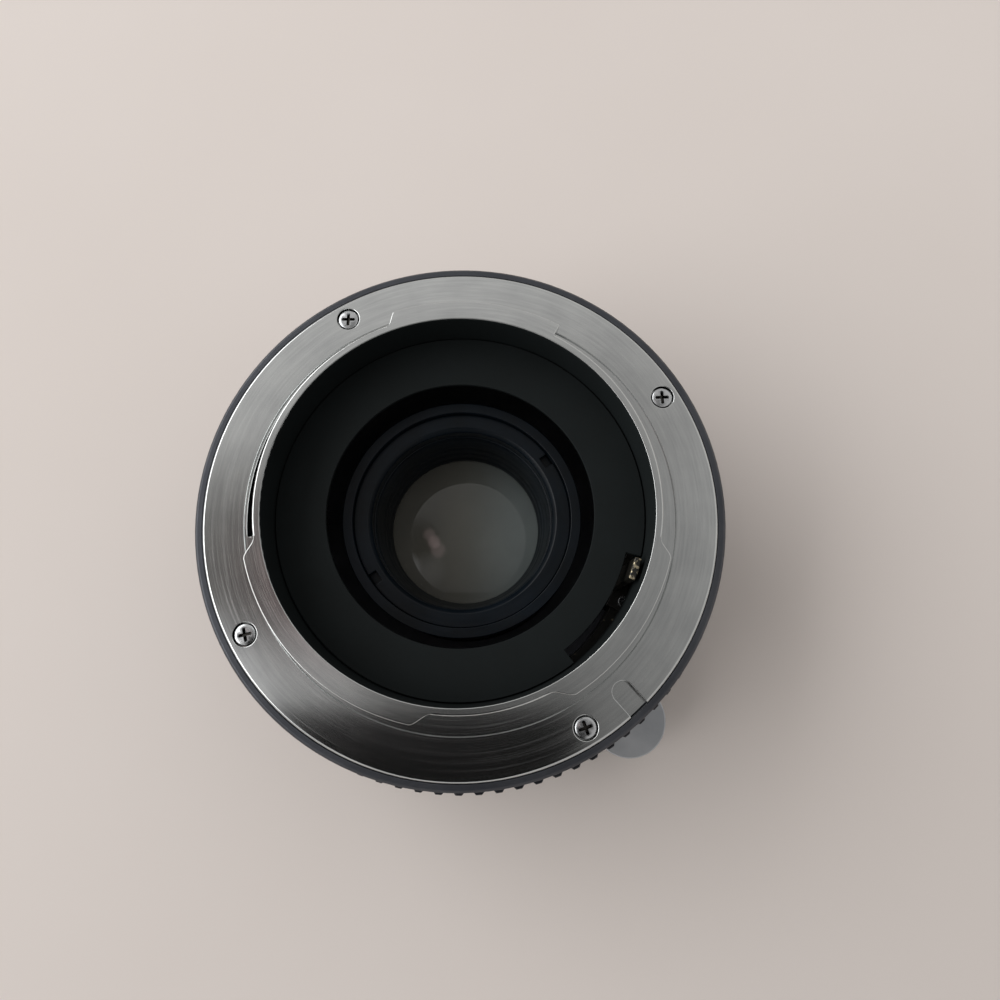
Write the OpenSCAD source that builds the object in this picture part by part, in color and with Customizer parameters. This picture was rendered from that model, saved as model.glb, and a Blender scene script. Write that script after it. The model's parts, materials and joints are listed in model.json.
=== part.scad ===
// Camera teleconverter: a black tube with a bayonet mount at each end and a lens group inside.
// Z is the optical axis. A lens goes on below and the camera above, and Z = 0 is the tip of the lock pin.
// Angles count from +X towards +Y, as seen from the camera end.

/* [Mounts] */
// Distance from the front mount face to the rear mount face
mount_gap = 31; // [30:0.5:40]
// Diameter of both mount flanges
flange_d = 60; // [59:0.5:66]
// Outer diameter of the bayonet collar
collar_d = 45; // [43:0.25:46.5]
// Thickness of the rear mount flange
rear_flange_t = 2; // [1.8:0.1:2.6]
// Thickness of the front mount flange
front_flange_t = 2.7; // [2.4:0.1:2.8]
// Width of the shoulder in the barrel that each flange sits on
flange_seat_w = 4; // [3.8:0.1:4.2]
// Wall of the bayonet collar
collar_wall = 0.9; // [0.7:0.05:1.2]
// Height of the bayonet collar above its mount face
collar_h = 5.2; // [5:0.1:5.8]
// Reach of the bayonet lugs beyond the collar
lug_reach = 1.35; // [1:0.05:1.5]
// Thickness of the bayonet lugs
lug_t = 1.6; // [1.2:0.1:1.8]
// First lug: start angle, end angle, run-out before it and run-out after it
lug_a = [195.2, 258, 5.5, 5.5];
// Second lug: start angle, end angle, run-out before it and run-out after it
lug_b = [302.2, 345, 6, 5];
// Third lug: start angle, end angle, run-out before it and run-out after it
lug_c = [61.2, 108.5, 0, 3.2];
// Turn that locks a lens in the front mount, in degrees
lock_turn = 70; // [66:1:72]
// Width of the shallow ring cut into the rear flange outside the lugs
step_w = 1.2; // [0.9:0.05:1.3]
// Depth of that ring
step_h = 0.25; // [0.15:0.05:0.4]
// Start and end angle of the narrow coupler slot in the rear flange
coupler_slot_a = [148, 186.7];
// Width of the coupler slot
coupler_slot_w = 0.6; // [0.4:0.05:0.8]
// Edge of a flange to the centre of its screws
screw_inset = 2.1; // [2:0.05:2.4]
// Angle of the first rear mount screw
screw_a = 30.2; // [25:0.2:35]
// Diameter of a mount screw's head
screw_head_d = 2.5; // [2.2:0.1:2.8]
// Diameter of a mount screw's shank
screw_shank_d = 1.4; // [1.2:0.1:1.6]
// Length of a mount screw under its head
screw_len = 4.5; // [3.5:0.1:5]

/* [Lens lock] */
// Angle of the lock pin, the release tab and the lock recess
lock_a = -48; // [-52:0.5:-44]
// How far the lock pin stands out of the front mount
pin_proud = 1.4; // [1.2:0.1:1.6]
// Diameter of the lock pin
pin_d = 2.2; // [2:0.1:2.4]
// Edge of the front flange to the centre of the lock pin
pin_inset = 2.2; // [2.1:0.05:2.4]
// How far the release tab slides
release_travel = 1.8; // [1.7:0.1:2]
// Front mount face to the underside of the release tab
tab_rise = 5.7; // [5.4:0.1:6.4]
// Thickness of the release tab
tab_t = 1.6; // [1.2:0.1:2]
// Width of the release tab outside the barrel
tab_w = 10.4; // [9:0.2:11]
// Reach of the release tab beyond the barrel
tab_reach = 8.2; // [6.5:0.1:8.6]
// Width of the tab's neck at the lock pin
tab_neck_w = 2.7; // [2.5:0.1:2.8]
// Free length of the lock spring as fitted
lock_spring_len = 5.4; // [5:0.1:7]
// Turns of the lock spring
lock_spring_turns = 6; // [5:1:6]
// Width of the recess that takes the camera's own lock pin
recess_w = 2.4; // [2:0.1:2.8]
// Depth of that recess
recess_h = 1.2; // [0.8:0.1:1.4]
// Edge of the rear flange to the inner end of that recess
recess_len = 3.9; // [3.4:0.1:4]

/* [Barrel] */
// Wall of the black rim round each flange
rim_wall = 0.95; // [0.8:0.05:1.5]
// How far the rim stays below each mount face
rim_drop = 0.3; // [0.1:0.05:0.6]
// Chamfer of the rim
rim_chamfer = 0.35; // [0.1:0.05:0.6]
// Length of the throat behind the front mount
throat_len = 2; // [1.6:0.1:2.4]
// Rear mount face to the front of the web that carries the lens cell
web_depth = 18.4; // [17.8:0.1:18.8]
// Thickness of the web
web_t = 2.4; // [2.2:0.1:3]
// Plain length of the barrel between the rear mount face and the grip
grip_rear_land = 7; // [5:0.5:9]
// Plain length of the barrel between the release tab's window and the grip
grip_front_land = 2.6; // [1:0.2:4]
// Height of the grip above the barrel, over its ribs
grip_h = 1.5; // [1:0.1:2]
// Depth of the grooves between the ribs
rib_h = 0.6; // [0.4:0.05:0.8]
// Number of ribs
ribs = 85; // [60:1:96]
// Diameter of an index bead
bead_d = 2.2; // [1.8:0.1:2.6]

/* [Aperture coupling] */
// Angle of the rear lever at rest
lever_a = 340.5; // [338:0.5:343]
// Turn of the coupling from rest, in degrees
lever_travel = 28; // [20:1:30]
// Distance from the axis to the middle of the levers
lever_r = 20.8; // [20.6:0.05:20.9]
// Thickness of the levers
lever_t = 0.8; // [0.6:0.05:0.9]
// Angle that a lever's post covers
lever_span = 7; // [5:0.5:8]
// How far the rear lever stands above the rear mount face
lever_rise = 3; // [2:0.1:4]
// Height of the aperture ring
ring_h = 3.2; // [2.8:0.1:4]
// Thickness of the snap ring that holds the aperture ring
retainer_t = 0.7; // [0.5:0.05:1]
// Turns of the return spring
return_spring_turns = 13; // [10:1:14]

/* [Optics] */
// Outer diameter of the lens cell
cell_d = 28.8; // [28:0.2:29.4]
// Width of the lens cell's flange
cell_flange_w = 3.8; // [3.2:0.1:4.2]
// Thickness of the lens cell's flange
cell_flange_t = 1.6; // [1.4:0.1:1.8]
// Rear mount face to the rear rim of the lens cell
cell_depth = 3.4; // [2.6:0.1:4]
// Rear mount face to the middle of the rear glass
glass_depth = 13.5; // [13:0.1:14]
// Diameter of the rear elements
rear_glass_d = 23; // [22:0.2:23.4]
// Diameter of the front elements
front_glass_d = 22.2; // [21.4:0.2:22.6]
// Clear opening of the glass
clear_d = 19.4; // [18.6:0.2:19.8]
// Radius of the rear glass surface
rear_curve_r = 60; // [50:1:90]
// Radius of the cemented surface
joint_curve_r = 80; // [75:1:120]
// Radius of the middle element's hollow surfaces
hollow_curve_r = 90; // [85:1:140]
// Radius of the front glass surface
front_curve_r = 40; // [36:1:60]
// Edge thickness of the rear crown element
crown_t = 1.1; // [0.9:0.05:1.4]
// Edge thickness of the rear flint element
flint_t = 1.5; // [1.4:0.05:1.8]
// Edge thickness of the middle element
middle_t = 1.7; // [1.6:0.05:2]
// Thickness of the spacer behind the front element
middle_spacer_t = 0.6; // [0.4:0.05:0.8]
// Edge thickness of the front element
front_t = 1.2; // [1:0.05:1.4]
// Diameter of the opening in the rear baffle
rear_opening_d = 31.2; // [30:0.2:33]
// Diameter of the opening in the front baffle
front_opening_d = 30; // [29.8:0.2:32]
// Thickness of the front baffle
front_baffle_t = 0.6; // [0.5:0.05:0.8]
// Thickness of the rear baffle
rear_baffle_t = 0.5; // [0.4:0.05:0.6]

/* [Hidden] */
$fn = 144;
// Facets of the large spheres that shape the glass
glass_fn = 480;
// Clearances: a running fit, a seated fit, an end play, a thread in its hole, and room between free pieces
run_gap = 0.07;
seat_gap = 0.05;
end_gap = 0.1;
thread_gap = 0.02;
free_gap = 0.3;
// Room between a lug and the mount that takes it: round the collar, round the lugs and behind them
throat_gap = 0.25;
notch_gap = 0.3;
channel_gap = 0.6;
notch_slack_a = 1.5;
// Room at each end of a lever's slot, in degrees
slot_slack_a = 2;
// Extra length of a cutting shape beyond the face that it opens
cut = 1;

// Small sizes: chamfers, and how far one shape sinks into another that it is joined to
flange_edge = 0.25;
collar_lip = 0.12;
lug_sink = 0.05;
rib_sink = 0.1;
pin_nose = 0.3;

// Radii
collar_r = collar_d / 2;
collar_in_r = collar_r - collar_wall;
flange_r = flange_d / 2;
recess_r = flange_r + seat_gap;
barrel_r = recess_r + rim_wall;
bore_r = flange_r - flange_seat_w;
lug_r = collar_r + lug_reach;
step_r = lug_r + step_w;
throat_r = collar_r + throat_gap;
notch_r = lug_r + notch_gap;
screw_r = flange_r - screw_inset;
pin_r = flange_r - pin_inset;
baffle_wall_gap = 0.15;
coupler_slot_inset = 0.25;
lever_in_r = lever_r - lever_t / 2;
lever_out_r = lever_r + lever_t / 2;
lever_slot_gap = 0.7;
lever_slot_in_r = lever_in_r - lever_slot_gap;
arm_gap = 0.4;
ring_in_r = lever_out_r + free_gap;
ring_r = bore_r - run_gap;
retainer_w = 2.1;
groove_depth = 0.55;
groove_r = bore_r + groove_depth;
foot_gap = 0.45;
foot_out_r = groove_r - retainer_w - foot_gap;
foot_t = 0.8;
grip_r = barrel_r + grip_h;
grip_root_r = grip_r - rib_h;
grip_lip = 0.6;

// Levels
z_front = pin_proud;
z_rear = z_front + mount_gap;
z_collar = z_rear + collar_h;
z_lug = z_collar - lug_t;
z_front_seat = z_front + front_flange_t;
z_rear_seat = z_rear - rear_flange_t;
z_brim = z_rear_seat - rear_baffle_t;
z_throat = z_front + collar_h + channel_gap;
z_front_baffle = z_throat + throat_len;
z_front_baffle_top = z_front_baffle + front_baffle_t;
z_tab = z_front + tab_rise;
z_tab_top = z_tab + tab_t;
z_window = z_tab - free_gap;
z_window_top = z_tab_top + release_travel + free_gap;
z_grip = z_window_top + grip_front_land;
z_grip_top = z_rear - grip_rear_land;

// Lens cell, glass and the openings round them
cell_r = cell_d / 2;
cell_flange_r = cell_r + cell_flange_w;
cell_screw_inset = 1.6;
cell_screw_r = cell_flange_r - cell_screw_inset;
clear_r = clear_d / 2;
rear_glass_r = rear_glass_d / 2;
rear_glass_bore_r = rear_glass_r + end_gap;
ring_seat_w = 1.6;
ring_thread_r = rear_glass_bore_r + ring_seat_w;
front_glass_r = front_glass_d / 2;
front_glass_bore_r = front_glass_r + end_gap;
rear_opening_r = rear_opening_d / 2;
front_opening_r = front_opening_d / 2;

// The cell's levels, from the rear glass down
ring_recess = 3;
z_cell_top = z_rear - cell_depth;
z_ring_seat = z_cell_top - ring_recess;
rim_flat_w = 0.5;
flat_r = clear_r + rim_flat_w;
z_crown_top = z_rear - glass_depth - sag(rear_curve_r, flat_r);
z_joint = z_crown_top - crown_t;
z_stop_top = z_joint - flint_t;
stop_t = 0.6;
z_stop = z_stop_top - stop_t;
middle_hollow = sag(hollow_curve_r, clear_r);
z_middle = z_stop - middle_t;
z_middle_spacer = z_middle - middle_spacer_t;
z_front_glass = z_middle_spacer - front_t;
front_ring_t = 1;
z_front_ring = z_front_glass - front_ring_t;
front_ring_sink = 0.2;
z_cell = z_front_ring - front_ring_sink;

// Levels of the web and of the aperture ring on it
z_web = z_rear - web_depth;
z_web_top = z_web + web_t;
z_ring = z_web_top + end_gap;
z_ring_top = z_ring + ring_h;
z_retainer = z_ring_top + end_gap;

// Retaining rings and spacer
rear_ring_h = 2.2;
rear_ring_bevel = 0.5;
rear_ring_lap = 0.6;
spanner_notch_inset = 1.1;
spanner_notch_w = 1.4;
spanner_notch_h = 0.8;
front_ring_bevel = 0.4;
front_ring_gap = 0.1;
spacer_lip = 0.6;
spacer_foot_gap = 0.1;
spacer_mouth_wall = 0.7;

// Screws: head diameter, head height, shank diameter, length under the head
mount_head_h = 1;
mount_screw = [screw_head_d, mount_head_h, screw_shank_d, screw_len];
cell_head_d = 2.2;
cell_head_h = 0.8;
cell_shank_d = 1.2;
cell_screw_bite = 1.6;
cell_screw = [cell_head_d, cell_head_h, cell_shank_d, cell_flange_t + cell_screw_bite];
baffle_head_d = 2.2;
baffle_head_h = 0.6;
baffle_shank_d = 1.1;
baffle_screw_bite = 1.2;
baffle_screw = [baffle_head_d, baffle_head_h, baffle_shank_d, front_baffle_t + baffle_screw_bite];
leaf_t = 0.3;
leaf_head_d = 2;
leaf_head_h = 0.45;
leaf_shank_d = 1.1;
leaf_screw_bite = 1.6;
leaf_screw = [leaf_head_d, leaf_head_h, leaf_shank_d, leaf_t + leaf_screw_bite];
lever_head_d = 1.6;
lever_head_h = 0.5;
lever_shank_d = 0.9;
lever_screw_bite = 1.4;
lever_screw = [lever_head_d, lever_head_h, lever_shank_d, foot_t + lever_screw_bite];
// Room at the bottom of a blind screw hole, and round and above a sunk head
hole_gap = 0.2;
screw_pocket_gap = 0.12;
screw_sink = 0.1;
// Driver recess of a screw: shares of the head's diameter, and of its height where the floor lies
cross_len = 0.72;
cross_w = 0.14;
cross_floor = 0.45;
screw_angles = [for (k = [0:3]) screw_a + 90 * k];
front_screw_step_a = 45;
front_screw_angles = [for (a = screw_angles) a + front_screw_step_a];
rear_screw_turn = 20;
three_angles = [40, 160, 280];
baffle_screw_r = (throat_r + bore_r) / 2;

// Front mount: notches that let the lugs in, and leaf springs between them
lugs = [lug_a, lug_b, lug_c];
notches = [for (l = lugs)
            [l[0] - l[2] - lock_turn - notch_slack_a, l[1] + l[3] - lock_turn + notch_slack_a]];
leaf_angles = [mid_angle(notches[0][1], notches[1][0]), mid_angle(notches[1][1], notches[2][0] + 360),
               mid_angle(notches[2][1], notches[0][0])];
leaf_len = 10;
leaf_w = 2;
leaf_inset = 0.2;
leaf_in_r = throat_r + leaf_inset;
leaf_mid_r = leaf_in_r + leaf_w / 2;
// The ends of a leaf stand a little higher than the room that a lug leaves them
leaf_preload = 0.1;
leaf_rise = collar_h - lug_t - front_flange_t - leaf_t + leaf_preload;
leaf_bend_r = (pow(leaf_len / 2, 2) + pow(leaf_rise, 2)) / (2 * leaf_rise);

// Lens lock
barrel_pin_gap = 0.06;
pin_spigot_r = 0.68;
pin_spigot_h = 2;
pocket_gap = 0.4;
pocket_r = pin_d / 2 + pocket_gap;
shoulder_inset = 0.3;
tab_shoulder_r = flange_r - shoulder_inset;
tab_tip_r = barrel_r + tab_reach;
tab_end_r = tab_tip_r - tab_w / 2;
spring_wire_d = 0.3;
lock_coil_gap = 0.45;
lock_coil_r = pocket_r - lock_coil_gap;
z_pocket_top = z_tab_top + lock_spring_len;

// Aperture coupling
foot_span = 18;
foot_step_a = 24;
front_foot_a = lever_a + foot_step_a;
fork_span = 16;
fork_notch_span = 9;
fork_bridge_t = 1.2;
z_fork = z_front_baffle_top + free_gap;
z_fork_top = z_web - free_gap;
slot_span = [lever_a - lever_span / 2 - lever_travel - slot_slack_a,
             lever_a + lever_span / 2 + slot_slack_a];
arm_span = [front_foot_a - lever_span / 2 - lever_travel - slot_slack_a,
            front_foot_a + lever_span / 2 + slot_slack_a];
lever_screw_r = (ring_in_r + foot_out_r) / 2;
lever_screw_a = 5.5;
post_r = 0.6;
post_head_r = 0.9;
post_head_t = 0.4;
post_sink = 1.5;
fixed_post_inset = 1.5;
fixed_post = [lever_in_r - fixed_post_inset, 190];
moving_post_outset = 0.3;
moving_post = [lever_screw_r + moving_post_outset, 150];
spring_lift = 1.9;
z_return_spring = z_ring_top + spring_lift;
post_end = 1;
z_post_top = z_return_spring + post_end;
return_coil_r = 1.1;
hook_r = 0.95;
hook_lead = 0.9;

// Index beads: angle and height of each
bead_dome = 0.5;
bead_sink = 1.6;
bead_a = 90;
front_bead_rise = 5.2;
rear_bead_drop = 4.5;
beads = [[bead_a, z_front + front_bead_rise], [bead_a + lock_turn, z_rear - rear_bead_drop]];

// Functions

function polar(r, a) = [r * cos(a), r * sin(a)];
function polar_at(r, a, z) = [r * cos(a), r * sin(a), z];
function sag(curve, r) = curve - sqrt(curve * curve - r * r);
function mid_angle(a, b) = (a + b) / 2;
function ease(t) = t * t * (3 - 2 * t);
function unit(v) = v / norm(v);
function arc_points(r, a0, a1, n) = [for (i = [0:n]) polar(r, a0 + (a1 - a0) * i / n)];

// End of a lug, eased from one radius to another over an angle
function eased_edge(a0, a1, r0, r1, n = 10) =
  [for (i = [0:n]) polar(r0 + (r1 - r0) * ease(i / n), a0 + (a1 - a0) * i / n)];

// Frames along a wire, each turned as little as possible from the one before
function tangents(p) = [for (i = [0:len(p) - 1]) unit(p[min(i + 1, len(p) - 1)] - p[max(i - 1, 0)])];
function sides(t, before, i = 0) =
  i == len(t) ? [] : let (n = unit(before - (before * t[i]) * t[i])) concat([n], sides(t, n, i + 1));

// Least gap between stretches of a wire that are at least a number of points apart
function least_gap(p, wire_d, apart) =
  min([for (i = [0:len(p) - 1 - apart]) for (j = [i + apart:len(p) - 1]) norm(p[i] - p[j])]) - wire_d;

// Shapes used by several pieces

// Part of a ring with a square section
module arc_bar(r0, r1, a0, a1, z0, z1) {
  translate([0, 0, z0])
    rotate([0, 0, a0])
      rotate_extrude(angle = a1 - a0)
        translate([r0, 0])
          square([r1 - r0, z1 - z0]);
}

// Dome on the plane Z = 0, from the curve of its surface and the radius of its foot
module dome(curve, r) {
  intersection() {
    translate([0, 0, sag(curve, r) - curve])
      sphere(curve, $fn = glass_fn);
    cylinder(r = r + cut, h = sag(curve, r) + cut);
  }
}

// Screw with a crossed driver recess, its head standing on Z = 0
module cross_screw(s) {
  arm = [cross_len * s[0], cross_w * s[0], s[1]];
  difference() {
    union() {
      cylinder(d = s[0], h = s[1]);
      translate([0, 0, -s[3]])
        cylinder(d = s[2], h = s[3] + s[1] / 2);
    }
    for (a = [0, 90])
      rotate([0, 0, a])
        translate([-arm[0] / 2, -arm[1] / 2, cross_floor * s[1]])
          cube(arm);
  }
}

// Round wire along points, with six sides
module wire(p, d) {
  n = 6;
  t = tangents(p);
  e = sides(t, [0.21, 0.35, 0.91]);
  rings = len(p);
  points = [for (i = [0:rings - 1]) for (j = [0:n - 1])
             p[i] + d / 2 * (cos(360 * j / n) * e[i] + sin(360 * j / n) * cross(t[i], e[i]))];
  walls = [for (i = [0:rings - 2]) for (j = [0:n - 1])
            let (k = (j + 1) % n)
              each [[i * n + j, (i + 1) * n + j, (i + 1) * n + k],
                    [i * n + j, (i + 1) * n + k, i * n + k]]];
  first = [for (j = [1:n - 2]) [0, j, j + 1]];
  last = [for (j = [1:n - 2]) [(rings - 1) * n, (rings - 1) * n + j + 1, (rings - 1) * n + j]];
  polyhedron(points, concat(walls, first, last));
}

module at_angles(angles, r, z) {
  for (a = angles)
    rotate([0, 0, a])
      translate([r, 0, z])
        children();
}

// Barrel

module barrel() {
  color("#1b1c1f")
    difference() {
      barrel_turning();
      arc_bar(lever_in_r - arm_gap, lever_out_r + arm_gap, arm_span[0], arm_span[1],
              z_web - cut, z_web_top + cut);
      release_pocket();
      at_angles(screw_angles, screw_r, z_rear_seat - screw_len)
        cylinder(d = screw_shank_d + 2 * thread_gap, h = screw_len + cut);
      at_angles(front_screw_angles, screw_r, z_front_seat - cut)
        cylinder(d = screw_shank_d + 2 * thread_gap, h = screw_len + cut);
      at_angles(three_angles, cell_screw_r, z_web - cut)
        cylinder(d = cell_screw[2] + 2 * thread_gap, h = cut + cell_screw_bite + hole_gap);
      at_angles(three_angles, baffle_screw_r, z_front_baffle - baffle_screw_bite - hole_gap)
        cylinder(d = baffle_screw[2] + 2 * thread_gap, h = cut + baffle_screw_bite + hole_gap);
      translate(polar_at(fixed_post[0], fixed_post[1], z_web_top - post_sink))
        cylinder(r = post_r + thread_gap, h = post_sink + cut);
      for (b = beads)
        bead_place(b)
          cylinder(d = bead_d + 2 * seat_gap, h = bead_sink + cut);
    }
}

module barrel_turning() {
  z0 = z_front + rim_drop;
  z1 = z_rear - rim_drop;
  rotate_extrude()
    polygon([
      [recess_r, z0], [barrel_r - rim_chamfer, z0], [barrel_r, z0 + rim_chamfer],
      [barrel_r, z1 - rim_chamfer], [barrel_r - rim_chamfer, z1], [recess_r, z1],
      [recess_r, z_rear_seat], [groove_r + seat_gap, z_rear_seat], [groove_r + seat_gap, z_brim],
      [bore_r, z_brim],
      [bore_r, z_retainer + retainer_t], [groove_r, z_retainer + retainer_t],
      [groove_r, z_retainer], [bore_r, z_retainer],
      [bore_r, z_web_top], [cell_r + end_gap, z_web_top], [cell_r + end_gap, z_web], [bore_r, z_web],
      [bore_r, z_front_baffle], [throat_r, z_front_baffle], [throat_r, z_throat], [bore_r, z_throat],
      [bore_r, z_front_seat], [recess_r, z_front_seat]
    ]);
}

// Room for the lock pin, its spring and the sliding tab
module release_pocket() {
  window_h = z_window_top - z_window;
  rotate([0, 0, lock_a]) {
    translate([pin_r, 0, z_front_seat - cut])
      cylinder(r = pocket_r, h = z_pocket_top - z_front_seat + cut);
    translate([pin_r, -tab_neck_w / 2 - free_gap / 2, z_window])
      cube([barrel_r - pin_r, tab_neck_w + free_gap, window_h]);
    translate([tab_shoulder_r - free_gap, -tab_w / 2 - free_gap, z_window])
      cube([barrel_r - tab_shoulder_r + cut, tab_w + 2 * free_gap, window_h]);
  }
}

// Grip ring: a sleeve with straight ribs that stop short of its ends
module grip_ring() {
  pitch = 360 / ribs;
  root_r = grip_root_r - rib_sink;
  grip_len = z_grip_top - z_grip;
  outline = [for (k = [0:ribs - 1])
              each [polar(root_r, pitch * k), polar(root_r, pitch * (k + 0.32)),
                    polar(grip_r, pitch * (k + 0.5)), polar(grip_r, pitch * (k + 0.82))]];
  color("#222326")
    difference() {
      union() {
        translate([0, 0, z_grip])
          cylinder(r = grip_root_r, h = grip_len);
        translate([0, 0, z_grip + grip_lip])
          linear_extrude(grip_len - 2 * grip_lip)
            polygon(outline);
      }
      translate([0, 0, z_grip - cut])
        cylinder(r = barrel_r + seat_gap, h = grip_len + 2 * cut);
    }
}

// Index beads, pressed into the side of the barrel
module bead_place(b) {
  rotate([0, 0, b[0]])
    translate([barrel_r - bead_sink, 0, b[1]])
      rotate([0, 90, 0])
        children();
}

module mount_index_beads() {
  curve = (pow(bead_d / 2, 2) + pow(bead_dome, 2)) / (2 * bead_dome);
  color("#b3262a")
    for (b = beads)
      bead_place(b) {
        cylinder(d = bead_d, h = bead_sink);
        translate([0, 0, bead_sink])
          dome(curve, bead_d / 2);
      }
}

// Rear mount

module rear_bayonet_mount() {
  slot_out_r = step_r - coupler_slot_inset;
  color("#c9cacb")
    difference() {
      union() {
        rear_mount_turning();
        for (l = lugs)
          lug(l);
      }
      lock_recess();
      arc_bar(slot_out_r - coupler_slot_w, slot_out_r, coupler_slot_a[0], coupler_slot_a[1],
              z_rear_seat - cut, z_rear + cut);
      at_angles(screw_angles, screw_r, z_rear)
        mount_screw_hole(rear_flange_t);
    }
}

module rear_mount_turning() {
  edge = flange_edge;
  lip = collar_lip;
  rotate_extrude()
    polygon([
      [collar_in_r, z_rear_seat], [flange_r, z_rear_seat],
      [flange_r, z_rear - edge], [flange_r - edge, z_rear],
      [step_r, z_rear], [step_r, z_rear - step_h], [collar_r, z_rear - step_h],
      [collar_r, z_collar - lip], [collar_r - lip, z_collar], [collar_in_r + lip, z_collar],
      [collar_in_r, z_collar - lip]
    ]);
}

// One bayonet lug, with its ends milled down to the collar
module lug(l) {
  core_r = collar_r - collar_wall / 2;
  toe0 = l[0] - l[2];
  toe1 = l[1] + l[3];
  past_r = lug_r + thread_gap;
  root_r = collar_r - lug_sink;
  outline = concat(
    eased_edge(toe0, l[0], root_r, past_r),
    arc_points(lug_r + cut, l[0], l[1], 16),
    eased_edge(l[1], toe1, past_r, root_r),
    arc_points(core_r, toe1, toe0, 16));
  intersection() {
    translate([0, 0, z_lug])
      cylinder(r = lug_r, h = lug_t);
    translate([0, 0, z_lug - cut])
      linear_extrude(lug_t + 2 * cut)
        polygon(outline);
  }
}

// Recess in the flange for the camera's lock pin, open to the edge
module lock_recess() {
  rotate([0, 0, lock_a])
    translate([flange_r - recess_len + recess_w / 2, 0, z_rear - recess_h]) {
      cylinder(d = recess_w, h = recess_h + cut);
      translate([0, -recess_w / 2, 0])
        cube([recess_len, recess_w, recess_h + cut]);
    }
}

// Counterbore and hole for a mount screw, down from the mount face at Z = 0
module mount_screw_hole(flange_t) {
  translate([0, 0, -mount_screw[1] - screw_sink])
    cylinder(d = mount_screw[0] + 2 * screw_pocket_gap, h = mount_screw[1] + screw_sink + cut);
  translate([0, 0, -flange_t - cut])
    cylinder(d = mount_screw[2] + 2 * end_gap, h = flange_t + cut);
}

module rear_mount_screws() {
  color("#9a9c9e")
    at_angles(screw_angles, screw_r, z_rear - mount_screw[1] - screw_sink)
      rotate([0, 0, rear_screw_turn])
        cross_screw(mount_screw);
}

// Baffle inside the collar: a plate, a wall and a brim that the flange clamps
module rear_baffle() {
  wall_r = collar_in_r - baffle_wall_gap;
  t = rear_baffle_t;
  color("#141416")
    difference() {
      rotate_extrude()
        polygon([
          [rear_opening_r, z_rear - t], [wall_r - t, z_rear - t], [wall_r - t, z_brim],
          [groove_r, z_brim], [groove_r, z_rear_seat], [wall_r, z_rear_seat],
          [wall_r, z_rear], [rear_opening_r, z_rear]
        ]);
      arc_bar(lever_slot_in_r, collar_in_r, slot_span[0], slot_span[1], z_brim - cut, z_rear + cut);
    }
}

// Front mount

module front_bayonet_mount() {
  edge = flange_edge;
  color("#c4c5c6")
    difference() {
      rotate_extrude()
        polygon([
          [throat_r, z_front], [flange_r - edge, z_front], [flange_r, z_front + edge],
          [flange_r, z_front_seat], [throat_r, z_front_seat]
        ]);
      for (n = notches)
        arc_bar(throat_r - cut, notch_r, n[0], n[1], z_front - cut, z_front_seat + cut);
      at_angles(front_screw_angles, screw_r, z_front)
        mirror([0, 0, 1])
          mount_screw_hole(front_flange_t);
      at_angles([lock_a], pin_r, z_front - cut)
        cylinder(r = pin_d / 2 + barrel_pin_gap, h = front_flange_t + 2 * cut);
      at_angles(leaf_angles, leaf_mid_r, z_front_seat + leaf_t - leaf_screw[3] - end_gap)
        cylinder(d = leaf_screw[2] + 2 * thread_gap, h = leaf_screw[3] + cut);
    }
}

module front_mount_screws() {
  color("#9a9c9e")
    at_angles(front_screw_angles, screw_r, z_front + mount_screw[1] + screw_sink)
      mirror([0, 0, 1])
        cross_screw(mount_screw);
}

// Bowed leaves behind the front flange, each held at its middle
module lens_leaf_springs() {
  color("#b9b4a6")
    for (a = leaf_angles)
      rotate([0, 0, a])
        difference() {
          intersection() {
            translate([leaf_in_r - cut, 0, z_front_seat + leaf_bend_r + leaf_t])
              rotate([0, 90, 0])
                difference() {
                  cylinder(r = leaf_bend_r + leaf_t, h = leaf_w + 3 * cut);
                  translate([0, 0, -cut])
                    cylinder(r = leaf_bend_r, h = leaf_w + 5 * cut);
                }
            translate([0, 0, z_front_seat - cut])
              difference() {
                cylinder(r = leaf_in_r + leaf_w, h = leaf_rise + leaf_t + 2 * cut);
                translate([0, 0, -cut])
                  cylinder(r = leaf_in_r, h = leaf_rise + leaf_t + 4 * cut);
              }
            translate([0, -leaf_len / 2, z_front_seat - cut])
              cube([flange_r, leaf_len, leaf_rise + leaf_t + 2 * cut]);
          }
          translate([leaf_mid_r, 0, z_front_seat - cut])
            cylinder(d = leaf_screw[2] + 2 * seat_gap, h = leaf_t + 2 * cut);
        }
}

module leaf_spring_screws() {
  color("#9a9c9e")
    at_angles(leaf_angles, leaf_mid_r, z_front_seat + leaf_t + leaf_seat_lift())
      cross_screw(leaf_screw);
}

// A flat head on a bowed leaf touches it at the head's edge
function leaf_seat_lift() = sag(leaf_bend_r, leaf_screw[0] / 2);

module front_baffle() {
  color("#161618")
    difference() {
      translate([0, 0, z_front_baffle])
        cylinder(r = bore_r - end_gap, h = front_baffle_t);
      translate([0, 0, z_front_baffle - cut])
        cylinder(r = front_opening_r, h = front_baffle_t + 2 * cut);
      arc_bar(lever_slot_in_r, lever_out_r + lever_slot_gap, slot_span[0], slot_span[1],
              z_front_baffle - cut, z_front_baffle_top + cut);
      at_angles(three_angles, baffle_screw_r, z_front_baffle - cut)
        cylinder(d = baffle_screw[2] + 2 * end_gap, h = front_baffle_t + 2 * cut);
    }
}

module front_baffle_screws() {
  color("#3a3b3d")
    at_angles(three_angles, baffle_screw_r, z_front_baffle_top)
      cross_screw(baffle_screw);
}

// Lens lock

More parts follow.
